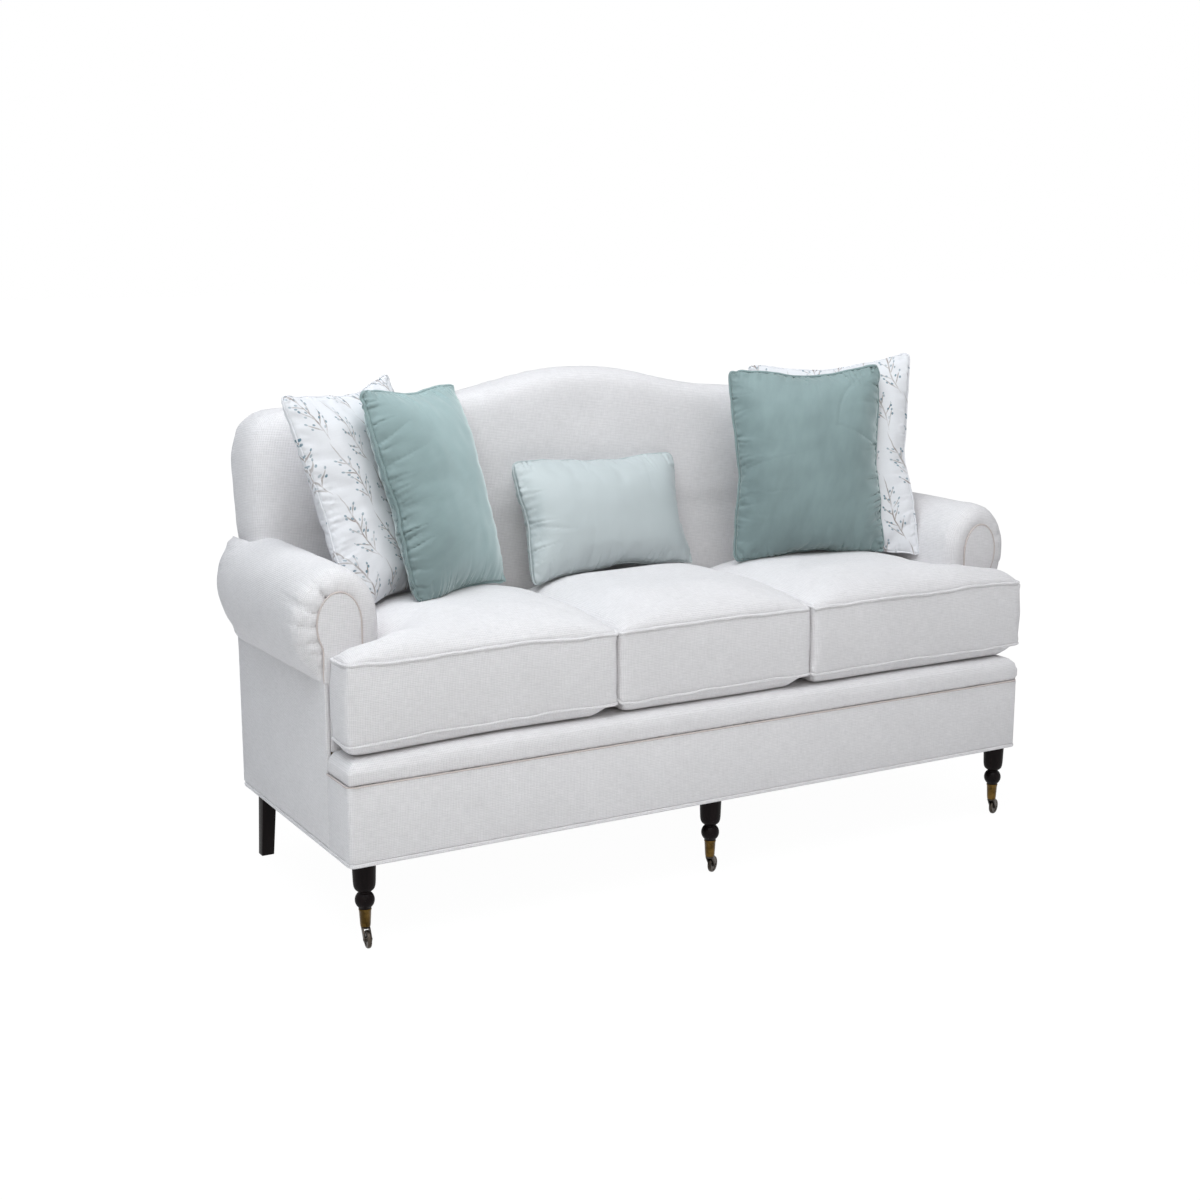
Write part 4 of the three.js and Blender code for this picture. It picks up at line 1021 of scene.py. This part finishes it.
class SOFA_OT_arms(bpy.types.Operator):
    """Pad the rolled arms, with gathers drawn in to the facing"""

    bl_idname = "sofa.arms"
    bl_label = "Pad Arms"

    def execute(self, context):
        for side, sign in zip(PAIR, (-1, 1)):
            node = "arm_pad_" + side
            low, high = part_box(node)
            inner, outer = sorted((abs(low.x), abs(high.x)))
            middle, half_width = sign * (inner + outer) / 2, (outer - inner) / 2
            seam = Seam(facing_path("arm_facing_" + side, sign), closed=False)
            roll_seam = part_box("side_panel_" + side)[1].z
            source = shifted(
                cad_copy(node),
                lambda p: p.y < high.y - OFF_REAR and SKINS["back"].find_nearest(p)[3] < NEAR_BACK, CARRIED_BACK)
            shifted(source, lambda p: p.z < low.z + 0.002, FOOT_DROP)
            pad = eased(voxelled(source, ARM_MESH), 4)

            def on_roll(point):
                at_back_panel = point.y > high.y - 0.075 and abs(point.x) < outer - 0.043
                return point.z > roll_seam + 0.012 and point.y > low.y + FRONT_KEPT and not at_back_panel

            def fullness(point):
                behind_roll = eased_step(point.y, high.y - 0.11, high.y - 0.06) * (
                    1 - eased_step(abs(point.x), outer - 0.058, outer - 0.022))
                return ROLL_FILL * (1 - 0.8 * behind_roll) * eased_step(point.z, roll_seam, roll_seam + 0.05) * (
                    eased_step(point.y, low.y + 0.01, low.y + 0.06))

            def outward(point):
                return eased_step(sign * (point.x - middle), -0.05, 0.03) * 0.85 + 0.15

            eased(pad, ROLL_EASED, on_roll)
            pad = pushed(refined(pad), fullness)
            puckered(pad, seam, 5.0 + sign, depth=0.0085, reach=0.050, pitch=0.026, where=outward, lean=0.2)
            rumpled(pad, 6.0 + sign, depth=0.0020, size=0.13,
                    where=lambda p: 1.0 if p.y > low.y + FRONT_KEPT else 0.5)
            cloth_rolled(pad, Vector((middle, 0, high.z - half_width * 1.16)), half_width)
            remember("arm_" + side, pad)
            present("arm_cover_" + side, pad, "sofa", "Linen", [node])
            self.pad_facing(side)
            stitches = [p + Vector((0, 0.0008, 0)) for p in densified(seam.softened(3)[::4], 0.012, False)]
            # The arm's seam cord is darker partly as thread and partly as painted shade along the seam
            linen_piece("arm_seam_" + side, rope(stitches, ARM_THREAD, closed=False), look="Thread and seam shade")
        return {"FINISHED"}

    def pad_facing(self, side):
        """Pads the facing of an arm, which stands out most in its middle."""
        node = "arm_facing_" + side
        low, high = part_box(node)
        source = shifted(cad_copy(node), lambda p: p.z < low.z + 0.002, FOOT_DROP)
        facing = eased(voxelled(source, FACING_MESH), 3)
        centre, half = (low + high) / 2, (high - low) / 2
        for vert in facing.verts:
            if vert.co.y < centre.y:
                crown = [max(0.0, 1 - ((vert.co[i] - centre[i]) / half[i]) ** 2) for i in (0, 2)]
                vert.co.y -= 0.004 * crown[0] * crown[1]
        linen_piece("arm_front_" + side, facing, node)


# Loose cushions: the heights of their lower and upper seams, and how far past a seam the sides still count
LOWER_SEAM, UPPER_SEAM = SEAT_SEAMS = (0.390, 0.531)
SEAM_BAND = 0.003
# How far the cover may move underneath, and within an edge of some width at the left, right and rear
UNDER_GIVE, SIDE_GIVE, SIDE_EDGE = 0.001, 0.0008, 0.02
# The belly under the front: how it sets in from the left and right, how it ends, and how flat the rest is drawn
BELLY_LEFT, BELLY_RIGHT, BELLY_BACK, RIM_FLAT = (0.002, 0.016), (0.004, 0.060), (0.12, 0.24), 0.92


class SOFA_OT_seat(bpy.types.Operator):
    """Fill the three loose seat cushions and sew on their welts"""

    bl_idname = "sofa.seat"
    bl_label = "Fill Seat Cushions"

    def execute(self, context):
        covers = settings("covers")
        voxel, most = covers.cushion_voxel, covers.cushion_give
        for number, side in enumerate(SIDES):
            node, body = "seat_cushion_" + side, "seat_" + side
            low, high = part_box(node)
            source = cad_copy(node)
            seams = [Seam(ring_at(source, height), step=0.004) for height in SEAT_SEAMS]

            def give(point):
                close = off_seams(seams, point)
                if point.z > UPPER_SEAM + SEAM_BAND:
                    return most * eased_step(close, 0.0, 0.06)
                if point.z < LOWER_SEAM - SEAM_BAND:
                    return UNDER_GIVE
                beside = min(point.x - low.x, high.x - point.x, high.y - point.y)
                return (0.5 * most if beside > SIDE_EDGE else SIDE_GIVE) * eased_step(close, 0.0, 0.05)

            form = eased(voxelled(source, voxel), 2)
            form = swelled(form, covers.cushion_pressure, 0.0, lambda p: off_seams(seams, p) < voxel, give)
            form = refined(eased(form, 10, lambda p: off_seams(seams, p) > 1.8 * voxel))
            for vert in form.verts:
                x, y, z = vert.co
                if z < LOWER_SEAM:
                    belly = eased_step(x - low.x, *BELLY_LEFT) * eased_step(high.x - x, *BELLY_RIGHT)
                    near_front = 1 - eased_step(y, *(low.y + start for start in BELLY_BACK))
                    vert.co.z += (LOWER_SEAM - z) * (1 - belly) * RIM_FLAT * near_front
            below = (low + high) / 2 - Vector((0, 0, 10))
            lines = [seam.softened(3, wander=0.0022, away=below, seed=number + which)
                     for which, seam in enumerate(seams)]
            for seam, line in zip(seams, lines):
                redrawn(form, seam, line, reach=0.03)
            if side == "left":
                for vert in form.verts:
                    vert.co.z -= sag(vert.co) * (1 - eased_step(vert.co.z, LOWER_SEAM, UPPER_SEAM))
                for point in lines[0]:
                    point.z -= sag(point)

            def open_to_view(point):
                return 1.0 if point.y < low.y + 0.06 or point.z > UPPER_SEAM else 0.3

            for which, line in enumerate(lines):
                seam = Seam(line)
                puckered(form, seam, 10.0 + 2 * number + which, depth=0.0013, reach=0.020, pitch=0.027,
                         where=open_to_view)
                drawn_in(form, seam, depth=0.0012, reach=0.005)
            rumpled(form, 20.0 + number, depth=0.0028, size=0.15, where=lambda p: 1.0 if p.z > UPPER_SEAM else 0.4)
            kept_clear(form, ["back"] + ["arm_" + s for s in PAIR if s == side])
            linen_piece("seat_cover_" + side, form, node, body=body, skin=body)
            radius = covers.welt_radius
            welts = merged(*[rope(laid_on(line[::3], body, 0.4 * radius), radius) for line in lines])
            linen_piece("seat_welts_" + side, welts, body=body)
        return {"FINISHED"}


# Body, finish, slot, what it leans on, and how many degrees the cloth's own up is turned, which also aims the painted
# light on the velvet and satin pillows
PILLOWS = (
    ("print_left", "Sprig print", "print", ("seat_left",), 0),
    ("velvet_left", "Velvet left painted light", "velvet", ("seat_left", "pillow_print_left"), 75),
    ("lumbar", "Satin", "satin", ("seat_centre",), 20),
    ("print_right", "Sprig print", "print", ("seat_right",), 0),
    ("velvet_right", "Velvet right painted light", "velvet", ("seat_right", "pillow_print_right"), 15),
)
# How deep each cloth's creases are and how far its seam is drawn in
PILLOW_SEWING = {"print": (0.0028, 0.0016), "velvet": (0.0068, 0.0030), "satin": (0.0046, 0.0016)}
# The radius of the piping on the pillows that aren't velvet
PLAIN_PIPING = 0.0017
# The width of the flat edge that a pillow's solid has round its seam, and how far its corners stand out
PILLOW_EDGE, EAR_REACH = 0.005, 0.006


def pillow_seam(source):
    """The seam round a pillow, in order, with its middle and the way that it faces."""
    points = [(e.verts[0].co + e.verts[1].co) / 2 for e in source.edges
              if abs(e.calc_length() - PILLOW_EDGE) < 0.0002]
    middle = sum(points, Vector()) / len(points)
    spread = Matrix(((0, 0, 0), (0, 0, 0), (0, 0, 0)))
    for point in points:
        away = point - middle
        for i in range(3):
            for j in range(3):
                spread[i][j] += away[i] * away[j]
    facing = Vector((0, -1, 0.2)).normalized()
    inverse = (spread + Matrix.Identity(3) * 1e-6).inverted()
    for _ in range(40):
        facing = (inverse @ facing).normalized()
    if facing.y > 0:
        facing.negate()
    up = (Vector((0, 0, 1)) - facing * facing.z).normalized()
    right = up.cross(facing)
    if right.x < 0:
        right.negate()
    points.sort(key=lambda p: math.atan2((p - middle).dot(up), (p - middle).dot(right)))
    return points, middle, right, up


def eared(points, middle, right, up, reach):
    """Draws the sides of a pillow's seam in and its corners out."""
    spans = [max(abs((p - middle).dot(axis)) for p in points) for axis in (right, up)]
    for point in points:
        away = point - middle
        across, high = (away.dot(axis) / span for axis, span in zip((right, up), spans))
        point -= away.normalized() * reach * math.cos(4 * math.atan2(high, across))


class SOFA_OT_pillows(bpy.types.Operator):
    """Fill the throw pillows and sew on their piping"""

    bl_idname = "sofa.pillows"
    bl_label = "Fill Throw Pillows"

    def execute(self, context):
        pillows = settings("pillows")
        voxel = pillows.pillow_voxel
        for number, (body, look, slot, behind, lay) in enumerate(PILLOWS):
            node = "pillow_" + body
            source = cad_copy(node)
            edge, middle, right, up = pillow_seam(source)
            seam = Seam(edge)
            form = swelled(eased(voxelled(source, voxel), 2), pillows.pillow_pressure, pillows.pillow_slack,
                           lambda point: seam.near(point)[1] < 1.2 * voxel,
                           lambda point: pillows.pillow_give * eased_step(seam.near(point)[1], 0.0, 0.03))
            eased(form, 8, lambda p: seam.near(p)[1] > 0.025)
            line = seam.softened(36, wander=0.0030, away=middle, seed=number)
            eared(line, middle, right, up, EAR_REACH)
            form = refined(redrawn(form, seam, line, reach=0.055))
            seam = Seam(line)
            depth, sunk = PILLOW_SEWING[slot]
            puckered(form, seam, 30.0 + number, depth, reach=0.028, pitch=0.0150)
            puckered(form, seam, 50.0 + number, 0.45 * depth, reach=0.075, pitch=0.046, lean=0.6)
            drawn_in(form, seam, sunk, reach=0.008)
            rumpled(form, 40.0 + number, depth=0.003, size=0.09)
            kept_clear(form, ("back", "arm_left", "arm_right", *behind))
            turn = Matrix.Rotation(math.radians(-lay), 3, right.cross(up))
            right, up = turn @ right, turn @ up
            cloth_flat(form, middle, right, up)
            remember(node, form)
            present(node + "_cover", form, body, look, [node])
            radius = pillows.piping_radius if slot == "velvet" else PLAIN_PIPING
            piping = rope(laid_on(line[::4], node, 0.7 * radius), radius)
            present(node + "_piping", cloth_flat(piping, middle, right, up), body, look)
        return {"FINISHED"}


# Legs and casters. Turned profiles are radius and height pairs
# The height of the ball's middle, the radius of the peg in the cup, and how far over the peg's end the cup's rim is
BALL_HEIGHT, FOOT_PEG, CUP_RIM_UP = 0.0895, 0.0076, 0.0227
VASE = ((0.0190, 0.1130), (0.0207, 0.1210), (0.0215, 0.1390))
# The cup: the radius and depth of the fork's socket, the radius and height of the floor over it, its foot and its rim
CUP_SOCKET, SOCKET_DEPTH, CUP_INSIDE, CUP_FLOOR = 0.0033, 0.0098, 0.0079, 0.012
CUP_FOOT = ((0.0086, 0.0), (0.0093, 0.0006), (0.0096, 0.0016), (0.0094, 0.0028), (0.0098, 0.0040))
CUP_RIM = ((0.0114, -0.0036), (0.0121, -0.0026), (0.0122, -0.0014), (0.0118, 0.0), (0.0103, 0.0))
WHEEL_HALF, WHEEL_RADIUS = 0.004, 0.017
WHEEL_SECTION = (
    (0.0022, 0.0), (0.0054, 0.0), (0.0056, 0.0012), (0.0112, 0.0014), (0.0124, 0.0002),
    (WHEEL_RADIUS - 0.0018, 0.0), (WHEEL_RADIUS - 0.0005, 0.0012), (WHEEL_RADIUS, 0.0026))


def over(node):
    """The bottom and top of a node, and the matrix that carries a turned piece over its middle."""
    low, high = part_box(node)
    middle = (low + high) / 2
    return low.z, high.z, Matrix.Translation((middle.x, middle.y, 0))


class SOFA_OT_legs(bpy.types.Operator):
    """Turn the front legs and shape the back legs"""

    bl_idname = "sofa.legs"
    bl_label = "Make Legs"

    def execute(self, context):
        timber = settings("timber")
        waist = timber.waist_radius
        for side in SIDES:
            foot, top, place = over("front_leg_" + side)
            rim = foot + CUP_RIM_UP
            ball = [(timber.ball_radius * math.cos(math.radians(a)),
                     BALL_HEIGHT + timber.ball_radius * math.sin(math.radians(a))) for a in range(-48, 56, 8)]
            vase = curved([(waist, 0.1048), (waist + 0.0002, 0.1062), (waist * 1.42, 0.1084), *VASE,
                           (timber.leg_radius, top)])
            profile = [(0, foot), (FOOT_PEG, foot), (0.0097, rim), (0.0115, rim + 0.0003), *ball, *vase, (0, top)]
            leg = spun(profile, timber.turning_steps, place)
            for name, form, node in (("turned_leg_", leg, "front_leg_"),
                                     ("tapered_leg_", planed("back_leg_" + side, 0.0016), "back_leg_")):
                present(name + side, form, "sofa", "Espresso", [node + side], 40)
        return {"FINISHED"}


class SOFA_OT_casters(bpy.types.Operator):
    """Turn the caster cups and wheels"""

    bl_idname = "sofa.casters"
    bl_label = "Make Casters"

    def execute(self, context):
        steps = settings("timber").turning_steps
        joints = {joint["name"]: joint for joint in frame["joints"]}
        section = [(radius, depth - WHEEL_HALF) for radius, depth in WHEEL_SECTION]
        section += [(radius, -height) for radius, height in reversed(section)] + section[:1]
        for side in SIDES:
            bottom, top, place = over("caster_cup_" + side)
            cup = spun([
                (0, bottom + SOCKET_DEPTH), (CUP_SOCKET, bottom + SOCKET_DEPTH), (CUP_SOCKET, bottom),
                *((radius, bottom + rise) for radius, rise in CUP_FOOT),
                *((radius, top + rise) for radius, rise in CUP_RIM),
                (CUP_INSIDE, bottom + CUP_FLOOR), (0, bottom + CUP_FLOOR)], steps, place)
            present("brass_cup_" + side, cup, "sofa", "Brass", ["caster_cup_" + side], 40)
            roll = joints["wheel_" + side + "_roll"]
            turn = Vector((0, 0, 1)).rotation_difference(Vector(roll["axis"]).normalized()).to_matrix().to_4x4()
            wheel = spun(section, steps, Matrix.Translation(roll["pos_m"]) @ turn)
            present("wheel_" + side, wheel, "wheel_" + side, "Iron", ["caster_wheel_" + side], 35)
            fork = planed("caster_fork_" + side, 0.0003, 1)
            present("fork_" + side, fork, "caster_" + side, "Iron", ["caster_fork_" + side], 35)
        return {"FINISHED"}


# Stage
CAMERA_PLACE = (-1.9231, -3.2079, 1.2948)
PANEL_SIZE = (2.6, 2.0)


def lamp(name, place, height, power, size, tint):
    """A soft rectangular lamp that shines on the sofa's middle line at a height."""
    data = bpy.data.lights.new(name, "AREA")
    data.energy = power
    data.color = tint
    data.shape = "RECTANGLE"
    data.size, data.size_y = size
    made = shown(name, data)
    made.location = place
    made.rotation_euler = (Vector((0, 0, height)) - Vector(place)).to_track_quat("-Z", "Y").to_euler()


def seen_directly(tree):
    """1 where a ray comes from the camera, or by way of metal or glass."""
    path = add_node(tree, "ShaderNodeLightPath").outputs
    return larger(tree, larger(tree, path["Is Camera Ray"], path["Is Glossy Ray"]), path["Is Transmission Ray"])


def mixed_surface(tree, output, share, first, second):
    mix = add_node(tree, "ShaderNodeMixShader", {0: share, 1: first.outputs[0], 2: second.outputs[0]})
    tree.links.new(mix.outputs[0], tree.nodes[output].inputs["Surface"])


class SOFA_OT_stage(bpy.types.Operator):
    """Set the camera, the lamps, the floor and the sky"""

    bl_idname = "sofa.stage"
    bl_label = "Set Stage"

    def execute(self, context):
        stage = settings("stage")
        scene = context.scene
        camera = shown("Camera", bpy.data.cameras.new("Camera"))
        camera.data.lens = stage.lens
        camera.location = CAMERA_PLACE
        camera.rotation_euler = (math.pi / 2 - stage.camera_tilt, 0, -stage.camera_turn)
        scene.camera = camera
        lamp("Key", (-0.5, -0.9, 3.4), 0.4, stage.key_power, (3.6, 3.0), (0.985, 1.0, 1.01))
        lamp("Front", (-2.0, -3.4, 2.0), 0.5, stage.front_power, PANEL_SIZE, (1.0, 0.94, 0.80))
        lamp("Side", (-2.0, -0.7, 2.9), 0.5, stage.side_power, PANEL_SIZE, (0.72, 0.88, 1.0))
        floor = bmesh.new()
        bmesh.ops.create_grid(floor, x_segments=1, y_segments=1, size=30)
        plane = stand("floor", floor)
        look = Finish("Backdrop", stage.backdrop, rough=0.9, gloss=0.1)
        tree = look.tree
        look.colour((*stage.backdrop, 1))
        away = vector_step(tree, "LENGTH", first=look.on_object())["Value"]
        share = ramp(tree, away, 0.9, 2.4, 0.95, 1.0)
        white = add_node(tree, "ShaderNodeEmission", {"Color": (*stage.backdrop, 1), "Strength": 1.03})
        mixed_surface(tree, "Material Output", times(tree, seen_directly(tree), share), look.shader, white)
        plane.data.materials.append(look.made)
        scene.world = bpy.data.worlds.new("Sky")
        scene.world.use_nodes = True
        tree = scene.world.node_tree
        light = add_node(tree, "ShaderNodeBackground", {"Color": (0.93, 0.96, 1.0, 1), "Strength": stage.sky})
        white = add_node(tree, "ShaderNodeBackground", {"Color": (1, 1, 1, 1), "Strength": 1.0})
        mixed_surface(tree, "World Output", seen_directly(tree), light, white)
        scene.view_settings.view_transform = "Standard"
        return {"FINISHED"}


class SOFA_PT_panel(bpy.types.Panel):
    """The steps that make the sofa, in order"""

    bl_idname = "SOFA_PT_panel"
    bl_label = "Camelback Sofa"
    bl_space_type = "VIEW_3D"
    bl_region_type = "UI"
    bl_category = "Sofa"

    def draw(self, context):
        for step in STEPS:
            self.layout.operator(step.bl_idname)
        for group in GROUPS:
            box = self.layout.box()
            for name in GROUPS[group].__annotations__:
                box.prop(settings(group), name)


STEPS = (SOFA_OT_stage, SOFA_OT_timbers, SOFA_OT_base, SOFA_OT_back, SOFA_OT_arms, SOFA_OT_seat, SOFA_OT_pillows,
         SOFA_OT_legs, SOFA_OT_casters)
GROUPS = {"covers": SofaCovers, "pillows": SofaPillows, "timber": SofaTimber, "stage": SofaStage}


def register():
    for group in GROUPS.values():
        bpy.utils.register_class(group)
    for step in (*STEPS, SOFA_PT_panel):
        bpy.utils.register_class(step)
    for name, group in GROUPS.items():
        setattr(bpy.types.Scene, "sofa_" + name, PointerProperty(type=group))


def unregister():
    for name in GROUPS:
        delattr(bpy.types.Scene, "sofa_" + name)
    for step in (SOFA_PT_panel, *reversed(STEPS)):
        bpy.utils.unregister_class(step)
    for group in reversed(list(GROUPS.values())):
        bpy.utils.unregister_class(group)


def main():
    register()
    for name in ("stage", "timbers", "base", "back", "arms", "seat", "pillows", "legs", "casters"):
        getattr(bpy.ops.sofa, name)()


if __name__ == "__main__":
    main()
